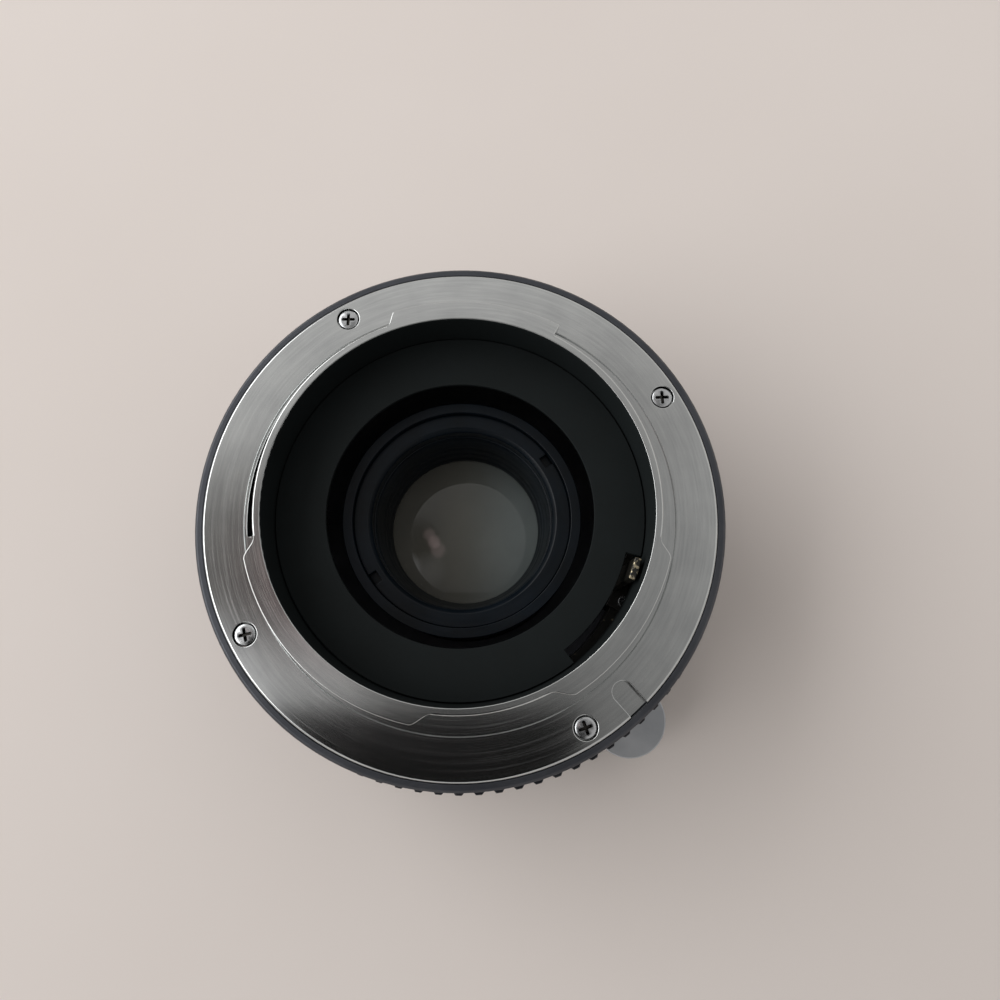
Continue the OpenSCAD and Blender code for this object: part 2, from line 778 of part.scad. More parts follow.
// Tongue that slides back along the axis and takes the lock pin with it
module release_tab() {
  color("#a9abac")
    rotate([0, 0, lock_a])
      translate([0, 0, z_tab])
        difference() {
          union() {
            intersection() {
              translate([tab_end_r, 0, 0])
                cylinder(d = tab_w, h = tab_t);
              translate([tab_shoulder_r, -tab_w, -cut])
                cube([2 * tab_w, 2 * tab_w, tab_t + 2 * cut]);
            }
            translate([tab_shoulder_r, -tab_w / 2, 0])
              cube([tab_end_r - tab_shoulder_r, tab_w, tab_t]);
            translate([pin_r, -tab_neck_w / 2, 0])
              cube([tab_end_r - pin_r, tab_neck_w, tab_t]);
            translate([pin_r, 0, 0])
              cylinder(d = tab_neck_w, h = tab_t);
          }
          translate([pin_r, 0, -cut])
            cylinder(r = pin_spigot_r + thread_gap, h = tab_t + 2 * cut);
        }
}

module lock_pin() {
  nose = pin_nose;
  color("#bcbdbe")
    rotate([0, 0, lock_a])
      translate([pin_r, 0, 0])
        rotate_extrude()
          polygon([
            [0, 0], [pin_d / 2 - nose, 0], [pin_d / 2, nose], [pin_d / 2, z_tab], [pin_spigot_r, z_tab],
            [pin_spigot_r, z_tab_top + pin_spigot_h], [0, z_tab_top + pin_spigot_h]
          ]);
}

lock_spring_points =
  let (rise = lock_spring_len - spring_wire_d - 2 * thread_gap, steps = 8 * lock_spring_turns)
    [for (i = [0:steps])
      polar_at(lock_coil_r, 360 * i / 8, z_tab_top + thread_gap + spring_wire_d / 2 + rise * i / steps)];

module lock_spring() {
  echo(lock_spring_gap = least_gap(lock_spring_points, spring_wire_d, 6));
  color("#8f9193")
    rotate([0, 0, lock_a])
      translate([pin_r, 0, 0])
        wire(lock_spring_points, spring_wire_d);
}

// Aperture coupling

module aperture_ring() {
  color("#8b7f5e")
    difference() {
      translate([0, 0, z_ring])
        cylinder(r = ring_r, h = ring_h);
      translate([0, 0, z_ring - cut])
        cylinder(r = ring_in_r, h = ring_h + 2 * cut);
      lever_screw_places(z_ring_top - lever_screw_bite - hole_gap)
        cylinder(d = lever_screw[2] + 2 * thread_gap, h = lever_screw_bite + hole_gap + cut);
      translate(polar_at(moving_post[0], moving_post[1], z_ring_top - post_sink))
        cylinder(r = post_r + thread_gap, h = post_sink + cut);
    }
}

module lever_screw_places(z) {
  for (a = [lever_a, front_foot_a])
    at_angles([a - lever_screw_a, a + lever_screw_a], lever_screw_r, z)
      children();
}

module aperture_ring_retainer() {
  gap_middle_a = 250;
  gap_a = 16;
  color("#77797b")
    arc_bar(groove_r - retainer_w, groove_r - seat_gap, gap_middle_a + gap_a, gap_middle_a + 360 - gap_a,
            z_retainer, z_retainer + retainer_t);
}

module lever_foot(a) {
  difference() {
    arc_bar(lever_r, foot_out_r, a - foot_span / 2, a + foot_span / 2, z_ring_top, z_ring_top + foot_t);
    lever_screw_places(z_ring_top - cut)
      cylinder(d = lever_screw[2] + 2 * seat_gap, h = foot_t + 2 * cut);
  }
}

// Lever that the camera pushes, standing through the slot in the rear baffle
module rear_aperture_lever() {
  color("#b08d4f") {
    lever_foot(lever_a);
    arc_bar(lever_in_r, lever_out_r, lever_a - lever_span / 2, lever_a + lever_span / 2,
            z_ring_top, z_rear + lever_rise);
  }
}

// Lever that moves the lens's own lever, with a fork behind the slot in the front baffle
module front_aperture_lever() {
  start_a = lever_a - fork_span / 2;
  end_a = front_foot_a + lever_span / 2;
  color("#b08d4f") {
    lever_foot(front_foot_a);
    difference() {
      arc_bar(lever_in_r, lever_out_r, start_a, end_a, z_fork, z_ring_top + foot_t);
      arc_bar(lever_in_r - cut, lever_out_r + cut, start_a - cut, front_foot_a - lever_span / 2,
              z_fork_top, z_ring_top + foot_t + cut);
      arc_bar(lever_in_r - cut, lever_out_r + cut,
              lever_a - fork_notch_span / 2, lever_a + fork_notch_span / 2,
              z_fork - cut, z_fork_top - fork_bridge_t);
    }
  }
}

module lever_screws() {
  color("#9a9c9e")
    lever_screw_places(z_ring_top + foot_t)
      cross_screw(lever_screw);
}

// Post with a head, for one end of the return spring
module spring_post(place, z0) {
  color("#a0a2a4")
    translate(polar_at(place[0], place[1], 0)) {
      translate([0, 0, z0 - post_sink])
        cylinder(r = post_r, h = z_post_top - z0 + post_sink);
      translate([0, 0, z_post_top - post_head_t])
        cylinder(r = post_head_r, h = post_head_t);
    }
}

module moving_spring_post() {
  spring_post(moving_post, z_ring_top);
}

module fixed_spring_post() {
  spring_post(fixed_post, z_web_top);
}

// Return spring: a hook round each post and a coil along the line between them
return_spring_points =
  let (p0 = polar_at(moving_post[0], moving_post[1], z_return_spring),
       p1 = polar_at(fixed_post[0], fixed_post[1], z_return_spring),
       u = unit(p1 - p0), v = [-u[1], u[0], 0], w = [0, 0, 1],
       lead = hook_r + hook_lead, coil_len = norm(p1 - p0) - 2 * lead, steps = 8 * return_spring_turns)
    concat(
      [for (a = [-60:-30:-300]) p0 + hook_r * (u * cos(a) + v * sin(a))],
      [for (i = [0:steps])
        let (swell = ease(min(1, i / 6, (steps - i) / 6)))
          p0 + u * (lead + coil_len * i / steps)
             + return_coil_r * swell * (v * cos(360 * i / 8) + w * sin(360 * i / 8))],
      [for (a = [120:-30:-120]) p1 + hook_r * (u * cos(a) + v * sin(a))]);

module aperture_return_spring() {
  echo(return_spring_gap = least_gap(return_spring_points, spring_wire_d, 6));
  color("#8f9193")
    wire(return_spring_points, spring_wire_d);
}

// Lens cell and glass

module lens_cell() {
  color("#17181a")
    difference() {
      rotate_extrude()
        polygon([
          [cell_r, z_cell], [cell_r, z_web - cell_flange_t], [cell_flange_r, z_web - cell_flange_t],
          [cell_flange_r, z_web], [cell_r, z_web], [cell_r, z_cell_top], [ring_thread_r, z_cell_top],
          [ring_thread_r, z_ring_seat], [rear_glass_bore_r, z_ring_seat], [rear_glass_bore_r, z_stop_top],
          [clear_r, z_stop_top], [clear_r, z_stop],
          [front_glass_bore_r, z_stop], [front_glass_bore_r, z_cell]
        ]);
      at_angles(three_angles, cell_screw_r, z_web - cell_flange_t - cut)
        cylinder(d = cell_screw[2] + 2 * end_gap, h = cell_flange_t + 2 * cut);
    }
}

module cell_screws() {
  color("#3a3b3d")
    at_angles(three_angles, cell_screw_r, z_web - cell_flange_t)
      mirror([0, 0, 1])
        cross_screw(cell_screw);
}

// Threaded ring over the rear spacer, with two notches for a spanner
module rear_retaining_ring() {
  h = rear_ring_h;
  bevel = rear_ring_bevel;
  inner_r = rear_glass_bore_r - rear_ring_lap;
  outer_r = ring_thread_r - seat_gap;
  color("#1d1d22")
    difference() {
      rotate_extrude()
        polygon([
          [inner_r, z_ring_seat], [outer_r, z_ring_seat], [outer_r, z_ring_seat + h],
          [inner_r + bevel, z_ring_seat + h], [inner_r, z_ring_seat + h - bevel]
        ]);
      for (a = [35, 215])
        rotate([0, 0, a])
          translate([inner_r + spanner_notch_inset, -spanner_notch_w / 2,
                     z_ring_seat + h - spanner_notch_h])
            cube([outer_r, spanner_notch_w, spanner_notch_h + cut]);
    }
}

// Spacer tube whose inside narrows in steps towards the glass
module rear_spacer() {
  steps = 5;
  outer_r = rear_glass_bore_r - seat_gap;
  foot_r = flat_r + spacer_foot_gap;
  mouth_r = rear_glass_bore_r - spacer_mouth_wall;
  z0 = z_crown_top + spacer_lip;
  rise = (z_ring_seat - z0) / steps;
  widen = (mouth_r - clear_r) / steps;
  stairs = [for (k = [steps - 1:-1:0])
             each [[clear_r + widen * (k + 1), z0 + rise * (k + 1)],
                   [clear_r + widen * k, z0 + rise * (k + 0.4)]]];
  color("#19191f")
    rotate_extrude()
      polygon(concat(
        [[foot_r, z_crown_top], [outer_r, z_crown_top], [outer_r, z_ring_seat]],
        stairs,
        [[clear_r, z0]]));
}

module rear_crown_element() {
  color("#8a94a0", 0.5) {
    translate([0, 0, z_joint])
      cylinder(r = rear_glass_r, h = crown_t);
    translate([0, 0, z_crown_top])
      dome(rear_curve_r, flat_r);
    translate([0, 0, z_joint])
      mirror([0, 0, 1])
        dome(joint_curve_r, rear_glass_r);
  }
}

module rear_flint_element() {
  color("#8a94a0", 0.5)
    difference() {
      translate([0, 0, z_stop_top])
        cylinder(r = rear_glass_r, h = flint_t);
      translate([0, 0, z_joint - sag(joint_curve_r, rear_glass_r) + joint_curve_r])
        sphere(joint_curve_r, $fn = glass_fn);
    }
}

module middle_element() {
  color("#8a94a0", 0.5)
    difference() {
      translate([0, 0, z_middle])
        cylinder(r = front_glass_r, h = middle_t);
      translate([0, 0, z_stop - middle_hollow + hollow_curve_r])
        sphere(hollow_curve_r, $fn = glass_fn);
      translate([0, 0, z_middle + middle_hollow - hollow_curve_r])
        sphere(hollow_curve_r, $fn = glass_fn);
    }
}

module middle_spacer() {
  color("#19191f")
    difference() {
      translate([0, 0, z_middle_spacer])
        cylinder(r = front_glass_r, h = middle_spacer_t);
      translate([0, 0, z_middle_spacer - cut])
        cylinder(r = clear_r, h = middle_spacer_t + 2 * cut);
    }
}

module front_element() {
  color("#8a94a0", 0.5) {
    translate([0, 0, z_front_glass])
      cylinder(r = front_glass_r, h = front_t);
    translate([0, 0, z_front_glass])
      mirror([0, 0, 1])
        dome(front_curve_r, clear_r);
  }
}

module front_retaining_ring() {
  bevel = front_ring_bevel;
  inner_r = clear_r + front_ring_gap;
  color("#1d1d22")
    rotate_extrude()
      polygon([
        [inner_r + bevel, z_front_ring], [front_glass_bore_r - seat_gap, z_front_ring],
        [front_glass_bore_r - seat_gap, z_front_glass], [inner_r, z_front_glass],
        [inner_r, z_front_ring + bevel]
      ]);
}

barrel();
grip_ring();
mount_index_beads();
rear_bayonet_mount();
rear_mount_screws();
rear_baffle();
front_bayonet_mount();
front_mount_screws();
lens_leaf_springs();
leaf_spring_screws();
front_baffle();
front_baffle_screws();
release_tab();
lock_pin();
lock_spring();
aperture_ring();
aperture_ring_retainer();
rear_aperture_lever();
front_aperture_lever();
lever_screws();
moving_spring_post();
fixed_spring_post();
aperture_return_spring();
lens_cell();
cell_screws();
rear_retaining_ring();
rear_spacer();
rear_crown_element();
rear_flint_element();
middle_element();
middle_spacer();
front_element();
front_retaining_ring();
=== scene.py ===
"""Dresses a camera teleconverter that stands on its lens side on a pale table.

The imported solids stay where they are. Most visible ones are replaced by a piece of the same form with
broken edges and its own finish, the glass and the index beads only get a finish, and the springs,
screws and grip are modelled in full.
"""

import json
import logging
import math
from dataclasses import dataclass
from enum import Enum
from typing import Any, Iterable, Sequence

import bmesh
import bpy
from mathutils import Matrix, Vector
from mathutils.geometry import intersect_point_line

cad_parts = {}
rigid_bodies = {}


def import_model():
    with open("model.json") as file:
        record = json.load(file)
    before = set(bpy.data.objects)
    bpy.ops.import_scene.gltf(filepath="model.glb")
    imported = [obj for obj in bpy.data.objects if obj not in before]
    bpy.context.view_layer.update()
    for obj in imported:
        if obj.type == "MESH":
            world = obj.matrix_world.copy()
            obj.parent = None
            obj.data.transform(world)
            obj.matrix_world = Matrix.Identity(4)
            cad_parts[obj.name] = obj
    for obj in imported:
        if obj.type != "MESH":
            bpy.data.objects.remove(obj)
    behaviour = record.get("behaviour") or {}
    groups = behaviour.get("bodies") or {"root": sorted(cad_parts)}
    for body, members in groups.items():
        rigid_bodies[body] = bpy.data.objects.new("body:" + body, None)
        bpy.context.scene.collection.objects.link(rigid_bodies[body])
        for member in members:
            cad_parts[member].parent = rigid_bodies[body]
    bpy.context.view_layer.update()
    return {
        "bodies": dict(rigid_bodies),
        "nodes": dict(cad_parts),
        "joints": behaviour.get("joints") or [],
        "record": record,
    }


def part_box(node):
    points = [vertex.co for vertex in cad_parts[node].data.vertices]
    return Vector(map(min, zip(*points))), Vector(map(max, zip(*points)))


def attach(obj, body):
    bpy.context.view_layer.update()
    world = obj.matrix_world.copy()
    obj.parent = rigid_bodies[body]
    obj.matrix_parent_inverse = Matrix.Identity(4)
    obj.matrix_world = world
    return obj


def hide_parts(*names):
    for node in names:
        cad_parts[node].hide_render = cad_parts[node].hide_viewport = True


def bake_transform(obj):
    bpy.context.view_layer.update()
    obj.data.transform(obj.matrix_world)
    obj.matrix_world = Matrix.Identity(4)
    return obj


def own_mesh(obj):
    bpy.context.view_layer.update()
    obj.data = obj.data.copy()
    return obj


LOG = logging.getLogger("teleconverter")
MM = 0.001
Sockets = dict[str | int, Any]
Span = tuple[float, float]
Place = tuple[float, float, float]

# Most of a noise lies in this span, so stretching it fills a pattern's whole range.
NOISE_SPAN: Span = (0.3, 0.7)
# Edges that turn by more than this are sharp.
HARD_TURN = math.radians(30)
# Faces that turn by less than this are one face.
FLAT_TURN = math.radians(0.4)
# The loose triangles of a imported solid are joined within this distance.
JOIN = 0.001 * MM
# Seams of spun and swept pieces are closed within this distance.
SEAM = 0.0005 * MM
# Room for a broken edge is looked for up to this many of its widths.
ROOM_LIMIT = 2.3
# An edge with less room than this many widths stays sharp.
LEAST_ROOM = 0.7
# A broken edge takes this share of its room at most.
ROOM_SHARE = 0.45
# Other edges count within 60 degrees of straight inward, and this is the cosine.
INWARD = 0.5
# An edge is split this many widths before an inner corner.
NOOK_GAP = 1.5
# Edges shorter than this many widths aren't split.
NOOK_LENGTH = 3


class Body(Enum):
    """The bodies that pieces ride on."""

    HOUSING = "housing"
    RELEASE = "release"
    COUPLING = "aperture_coupling"


class Joint(Enum):
    """The joints that bend or press a spring."""

    RELEASE = "release_slide"


class Slot(Enum):
    """The record's material slots."""

    BARREL = "black_barrel"
    GRIP = "black_grip"
    MOUNT = "chrome_mount"
    SCREW = "screw_steel"
    DARK_SCREW = "black_screw"
    SPRING = "spring_steel"
    TAB = "satin_tab"
    BAFFLE = "black_baffle"
    LEVER = "lever_brass"
    CELL = "black_cell"


class Sight(Enum):
    """The kinds of ray that can see a panel."""

    CAMERA = "camera"
    DIFFUSE = "diffuse"
    GLOSSY = "glossy"
    SHADOW = "shadow"
    TRANSMISSION = "transmission"


def linear(colour: str) -> tuple[float, float, float, float]:
    """Turns an sRGB hex colour into a linear one.

    Args:
        colour: Six hex digits after a hash sign.

    Returns:
        Linear red, green, blue and an alpha of 1.
    """
    shares = [int(colour[i:i + 2], 16) / 255 for i in (1, 3, 5)]
    return (*((s / 12.92) if s <= 0.04045 else ((s + 0.055) / 1.055) ** 2.4 for s in shares), 1.0)


def plug(tree: bpy.types.NodeTree, node: bpy.types.Node, inputs: Sockets) -> None:
    """Links a node's inputs, and sets those that are given as plain values.

    Args:
        tree: The node tree.
        node: The node that takes the inputs.
        inputs: Values or output sockets by the name or number of the input.
    """
    for name, value in inputs.items():
        if isinstance(value, bpy.types.NodeSocket):
            tree.links.new(value, node.inputs[name])
        else:
            node.inputs[name].default_value = value


def add_node(tree: bpy.types.NodeTree, kind: str, inputs: Sockets | None = None,
             **settings: Any) -> bpy.types.Node:
    """Adds a node with its settings and links.

    Args:
        tree: The node tree that takes the node.
        kind: The node's type without the ShaderNode prefix.
        inputs: Values or output sockets by the name or number of the input.
        settings: Properties of the node.

    Returns:
        The new node.
    """
    node = tree.nodes.new(f"ShaderNode{kind}")
    for name, value in settings.items():
        setattr(node, name, value)
    plug(tree, node, inputs or {})
    return node


@dataclass(frozen=True)
class Pattern:
    """Sockets that patterns on a turned piece read, all in millimetres."""

    place: bpy.types.NodeSocket
    across: bpy.types.NodeSocket
    height: bpy.types.NodeSocket
    rings: bpy.types.NodeSocket


def turned_pattern(tree: bpy.types.NodeTree, ring: float = 1, sweep: float = 1) -> Pattern:
    """Gives coordinates that follow the lathe's rings round the optical axis.

    Args:
        tree: The material's node tree.
        ring: Width of one ring in millimetres.
        sweep: How many patches a ring breaks into on its way round.

    Returns:
        The place, its X and its height, and a vector that changes fast across the rings.
    """
    coords = add_node(tree, "TexCoord")
    place = add_node(tree, "VectorMath", {0: coords.outputs["Object"], "Scale": 1 / MM}, operation="SCALE")
    split = add_node(tree, "SeparateXYZ", {0: place.outputs[0]})
    flat = add_node(tree, "VectorMath", {0: place.outputs[0], 1: (1, 1, 0)}, operation="MULTIPLY")
    radius = add_node(tree, "VectorMath", {0: flat.outputs[0]}, operation="LENGTH")
    heading = add_node(tree, "VectorMath", {0: flat.outputs[0]}, operation="NORMALIZE")
    slope = add_node(tree, "Math", {0: radius.outputs["Value"], 1: split.outputs["Z"]},
                     operation="SUBTRACT")
    step = add_node(tree, "Math", {0: slope.outputs[0], 1: 1 / ring}, operation="MULTIPLY")
    up = add_node(tree, "CombineXYZ", {"Z": step.outputs[0]})
    rings = add_node(tree, "VectorMath", {0: heading.outputs[0], 1: (sweep, sweep, 0), 2: up.outputs[0]},
                     operation="MULTIPLY_ADD")
    return Pattern(place.outputs[0], split.outputs["X"], split.outputs["Z"], rings.outputs[0])


@dataclass(frozen=True)
class Finish:
    """A material that is named for what the real one is. Its sizes are in millimetres.

    Rings and grains that are too fine to show are drawn as coarse as they need to be.
    """

    name: str

    def build(self) -> bpy.types.Material:
        """Makes the material and paints its nodes.

        Returns:
            The new material.
        """
        material = bpy.data.materials.new(self.name)
        material.use_nodes = True
        tree = material.node_tree
        tree.nodes.clear()
        shader = add_node(tree, "BsdfPrincipled")
        add_node(tree, "OutputMaterial", {"Surface": shader.outputs[0]})
        self.paint(tree, shader)
        return material

    def paint(self, tree: bpy.types.NodeTree, shader: bpy.types.Node) -> None:
        """Sets the shader's sockets and links its patterns.

        Args:
            tree: The material's nodes.
            shader: The shader that takes the patterns.
        """
        raise NotImplementedError


@dataclass(frozen=True)
class TurnedChrome(Finish):
    """Satin chrome over brass, faced on a lathe: fine rings, hairline scratches along them, a little dust."""

    light: str = "#d1d3d2"
    dull: str = "#bdbfbf"
    grime: str = "#3a3937"
    roughness: float = 0.14
    scratched: float = 0.07
    ring: float = 0.3
    ring_patches: float = 4
    ring_depth: float = 0.02
    scratch: float = 0.1
    scratch_patches: float = 1.6
    scratch_span: Span = (0.5, 0.74)
    patch: float = 5.0
    tone_span: Span = (0.7, 1.3)
    speck_gap: float = 6.0
    speck_share: float = 0.022
    speck_span: Span = (0.45, 0.7)

    def paint(self, tree: bpy.types.NodeTree, shader: bpy.types.Node) -> None:
        """Scratches spread the gloss, patches change the tone, and the rings lift the surface a little.

        Args:
            tree: The material's nodes.
            shader: The shader that takes the patterns.
        """
        turned = turned_pattern(tree, self.ring, self.ring_patches)
        scored = turned_pattern(tree, self.scratch, self.scratch_patches)
        grain = add_node(tree, "TexNoise", {"Vector": turned.rings, "Scale": 1, "Detail": 3,
                                            "Roughness": 0.6})
        lines = add_node(tree, "TexNoise", {"Vector": scored.rings, "Scale": 1, "Detail": 2,
                                            "Roughness": 0.5})
        cloud = add_node(tree, "TexNoise", {"Vector": turned.place, "Scale": 1 / self.patch, "Detail": 5})
        blend = add_node(tree, "Math", {0: cloud.outputs["Fac"], 1: grain.outputs["Fac"]}, operation="ADD")
        tone = add_node(tree, "MapRange", {"Value": blend.outputs[0], "From Min": self.tone_span[0],
                                           "From Max": self.tone_span[1]})
        metal = add_node(tree, "Mix", {"Factor": tone.outputs[0], "A": linear(self.dull),
                                       "B": linear(self.light)}, data_type="RGBA")
        dots = add_node(tree, "TexVoronoi", {"Vector": turned.place, "Scale": 1 / self.speck_gap})
        size = add_node(tree, "MapRange", {"Value": cloud.outputs["Fac"], "From Min": self.speck_span[0],
                                           "From Max": self.speck_span[1], "To Min": 0.0,
                                           "To Max": self.speck_share})
        speck = add_node(tree, "Math", {0: dots.outputs["Distance"], 1: size.outputs[0]},
                         operation="LESS_THAN")
        colour = add_node(tree, "Mix", {"Factor": speck.outputs[0], "A": metal.outputs[2],
                                        "B": linear(self.grime)}, data_type="RGBA")
        worn = add_node(tree, "MapRange", {"Value": lines.outputs["Fac"], "From Min": self.scratch_span[0],
                                           "From Max": self.scratch_span[1], "To Min": self.roughness,
                                           "To Max": self.roughness + self.scratched})
        bump = add_node(tree, "Bump", {"Height": grain.outputs["Fac"], "Strength": 0.05,
                                       "Distance": self.ring_depth * MM})
        plug(tree, shader, {"Base Color": colour.outputs[2], "Roughness": worn.outputs[0], "Metallic": 1,
                            "Normal": bump.outputs[0]})


@dataclass(frozen=True)
class BlackAnodised(Finish):
    """Black anodised aluminium: a soft slate sheen over a fine blasted grain, paler where hands rub it."""

    deep: str
    rubbed: str
    roughness: Span
    grit: float = 0.22
    grit_depth: float = 0.03
    turned: bool = False
    ring: float = 0.5
    ring_patches: float = 3
    wear_per_mm: float = 0.12
    wear_span: Span = (0.38, 0.72)
    gloss: float = 0.5
    metallic: float = 0.0

    def paint(self, tree: bpy.types.NodeTree, shader: bpy.types.Node) -> None:
        """The grit roughens the surface and broad wear changes its tone.

        Args:
            tree: The material's nodes.
            shader: The shader that takes the patterns.
        """
        pattern = turned_pattern(tree, self.ring, self.ring_patches)
        grit_at = pattern.rings if self.turned else pattern.place
        scale = 1 if self.turned else 1 / self.grit
        grit = add_node(tree, "TexNoise", {"Vector": grit_at, "Scale": scale, "Detail": 3})
        wear = add_node(tree, "TexNoise", {"Vector": pattern.place, "Scale": self.wear_per_mm, "Detail": 6,
                                           "Roughness": 0.65})
        worn = add_node(tree, "MapRange", {"Value": wear.outputs["Fac"], "From Min": self.wear_span[0],
                                           "From Max": self.wear_span[1]})
        colour = add_node(tree, "Mix", {"Factor": worn.outputs[0], "A": linear(self.deep),
                                        "B": linear(self.rubbed)}, data_type="RGBA")
        gloss = add_node(tree, "MapRange", {"Value": grit.outputs["Fac"], "From Min": NOISE_SPAN[0],
                                            "From Max": NOISE_SPAN[1], "To Min": self.roughness[0],
                                            "To Max": self.roughness[1]})
        bump = add_node(tree, "Bump", {"Height": grit.outputs["Fac"], "Strength": 0.25,
                                       "Distance": self.grit_depth * MM})
        plug(tree, shader, {"Base Color": colour.outputs[2], "Roughness": gloss.outputs[0],
                            "Normal": bump.outputs[0], "Specular IOR Level": self.gloss,
                            "Metallic": self.metallic})


@dataclass(frozen=True)
class MattePaint(Finish):
    """Matte black paint on sheet metal: nearly no gloss, a dry mottle and a few pale dust grains."""

    paint_colour: str = "#0f1313"
    mottle: str = "#151a1b"
    dust: str = "#8d8a80"
    grit: float = 0.35
    grit_depth: float = 0.03
    mottle_per_mm: float = 0.2
    grain_gap: float = 6.5
    grain_share: float = 0.012
    roughness: float = 0.7
    gloss: float = 0.16

    def paint(self, tree: bpy.types.NodeTree, shader: bpy.types.Node) -> None:
        """Mottle, a dry grain and dust.

        Args:
            tree: The material's nodes.
            shader: The shader that takes the patterns.
        """
        pattern = turned_pattern(tree)
        grit = add_node(tree, "TexNoise", {"Vector": pattern.place, "Scale": 1 / self.grit, "Detail": 3})
        cloud = add_node(tree, "TexNoise", {"Vector": pattern.place, "Detail": 5,
                                            "Scale": self.mottle_per_mm})
        tone = add_node(tree, "Mix", {"Factor": cloud.outputs["Fac"], "A": linear(self.paint_colour),
                                      "B": linear(self.mottle)}, data_type="RGBA")
        dots = add_node(tree, "TexVoronoi", {"Vector": pattern.place, "Scale": 1 / self.grain_gap})
        speck = add_node(tree, "Math", {0: dots.outputs["Distance"], 1: self.grain_share},
                         operation="LESS_THAN")
        colour = add_node(tree, "Mix", {"Factor": speck.outputs[0], "A": tone.outputs[2],
                                        "B": linear(self.dust)}, data_type="RGBA")
        bump = add_node(tree, "Bump", {"Height": grit.outputs["Fac"], "Strength": 0.3,
                                       "Distance": self.grit_depth * MM})
        plug(tree, shader, {"Base Color": colour.outputs[2], "Normal": bump.outputs[0],
                            "Roughness": self.roughness, "Specular IOR Level": self.gloss})


@dataclass(frozen=True)
class PlainMetal(Finish):
    """Bare or plated metal with a fine grain, dulled in patches.

    The last field holds a middle height and two distances from it: where painted shade is full and where it
    ends.
    """

    light: str
    dull: str
    roughness: Span
    grain: float = 0.25
    grain_depth: float = 0.02
    patch: float = 3.0
    patch_span: Span = (0.35, 0.7)
    # Colour of the painted shade in recesses.
    recess_shade: str = "#4a4845"
    shade_depths: Place | None = None

    def paint(self, tree: bpy.types.NodeTree, shader: bpy.types.Node) -> None:
        """Patches change the tone, the grain changes the gloss, and painted shade darkens what lies under the
        faces.

        Args:
            tree: The material's nodes.
            shader: The shader that takes the patterns.
        """
        pattern = turned_pattern(tree)
        grain = add_node(tree, "TexNoise", {"Vector": pattern.place, "Scale": 1 / self.grain, "Detail": 4})
        patch = add_node(tree, "TexNoise", {"Vector": pattern.place, "Scale": 1 / self.patch, "Detail": 5})
        tone = add_node(tree, "MapRange", {"Value": patch.outputs["Fac"], "From Min": self.patch_span[0],
                                           "From Max": self.patch_span[1]})
        colour = add_node(tree, "Mix", {"Factor": tone.outputs[0], "A": linear(self.light),
                                        "B": linear(self.dull)}, data_type="RGBA")
        # Painted shade: the nearer the metal lies to the middle height, the darker it is, so recesses and the
        # sides of the heads turn dark.
        if self.shade_depths:
            middle, dark_reach, lit_reach = self.shade_depths
            above = add_node(tree, "Math", {0: pattern.height, 1: middle}, operation="SUBTRACT")
            reach = add_node(tree, "Math", {0: above.outputs[0]}, operation="ABSOLUTE")
            bright = add_node(tree, "MapRange", {"Value": reach.outputs[0], "From Min": dark_reach,
                                                 "From Max": lit_reach})
            colour = add_node(tree, "Mix", {"Factor": bright.outputs[0], "A": linear(self.recess_shade),
                                            "B": colour.outputs[2]}, data_type="RGBA")
        gloss = add_node(tree, "MapRange", {"Value": grain.outputs["Fac"], "From Min": NOISE_SPAN[0],
                                            "From Max": NOISE_SPAN[1], "To Min": self.roughness[0],
                                            "To Max": self.roughness[1]})
        bump = add_node(tree, "Bump", {"Height": grain.outputs["Fac"], "Strength": 0.12,
                                       "Distance": self.grain_depth * MM})
        plug(tree, shader, {"Base Color": colour.outputs[2], "Roughness": gloss.outputs[0],
                            "Normal": bump.outputs[0], "Metallic": 1})


@dataclass(frozen=True)
class WornLacquer(Finish):
    """Brass under black lacquer that the camera's lever has rubbed off: bare patches with ragged edges."""

    lacquer: str = "#14130f"
    brass: str = "#a8946a"
    pale: str = "#dcd4bd"
    roughness: Span = (0.25, 0.5)
    patch: float = 1.1
    tints_per_patch: float = 3
    bare_from: float = 0.46
    ragged: float = 0.08
    bare_above: float = -1

    def paint(self, tree: bpy.types.NodeTree, shader: bpy.types.Node) -> None:
        """Ragged patches above a height switch between lacquer and metal.

        Args:
            tree: The material's nodes.
            shader: The shader that takes the patterns.
        """
        pattern = turned_pattern(tree)
        rags = add_node(tree, "TexNoise", {"Vector": pattern.place, "Scale": 1 / self.patch, "Detail": 6})
        tint = add_node(tree, "TexNoise", {"Vector": pattern.place, "Detail": 3,
                                           "Scale": self.tints_per_patch / self.patch})
        bare = add_node(tree, "MapRange", {"Value": rags.outputs["Fac"], "From Min": self.bare_from,
                                           "From Max": self.bare_from + self.ragged})
        high = add_node(tree, "Math", {0: pattern.height, 1: self.bare_above}, operation="GREATER_THAN")
        rubbed = add_node(tree, "Math", {0: bare.outputs[0], 1: high.outputs[0]}, operation="MULTIPLY")
        metal = add_node(tree, "Mix", {"Factor": tint.outputs["Fac"], "A": linear(self.brass),
                                       "B": linear(self.pale)}, data_type="RGBA")
        colour = add_node(tree, "Mix", {"Factor": rubbed.outputs[0], "A": linear(self.lacquer),
                                        "B": metal.outputs[2]}, data_type="RGBA")
        gloss = add_node(tree, "MapRange", {"Value": tint.outputs["Fac"], "To Min": self.roughness[0],
                                            "To Max": self.roughness[1]})
        plug(tree, shader, {"Base Color": colour.outputs[2], "Metallic": rubbed.outputs[0],
                            "Roughness": gloss.outputs[0]})


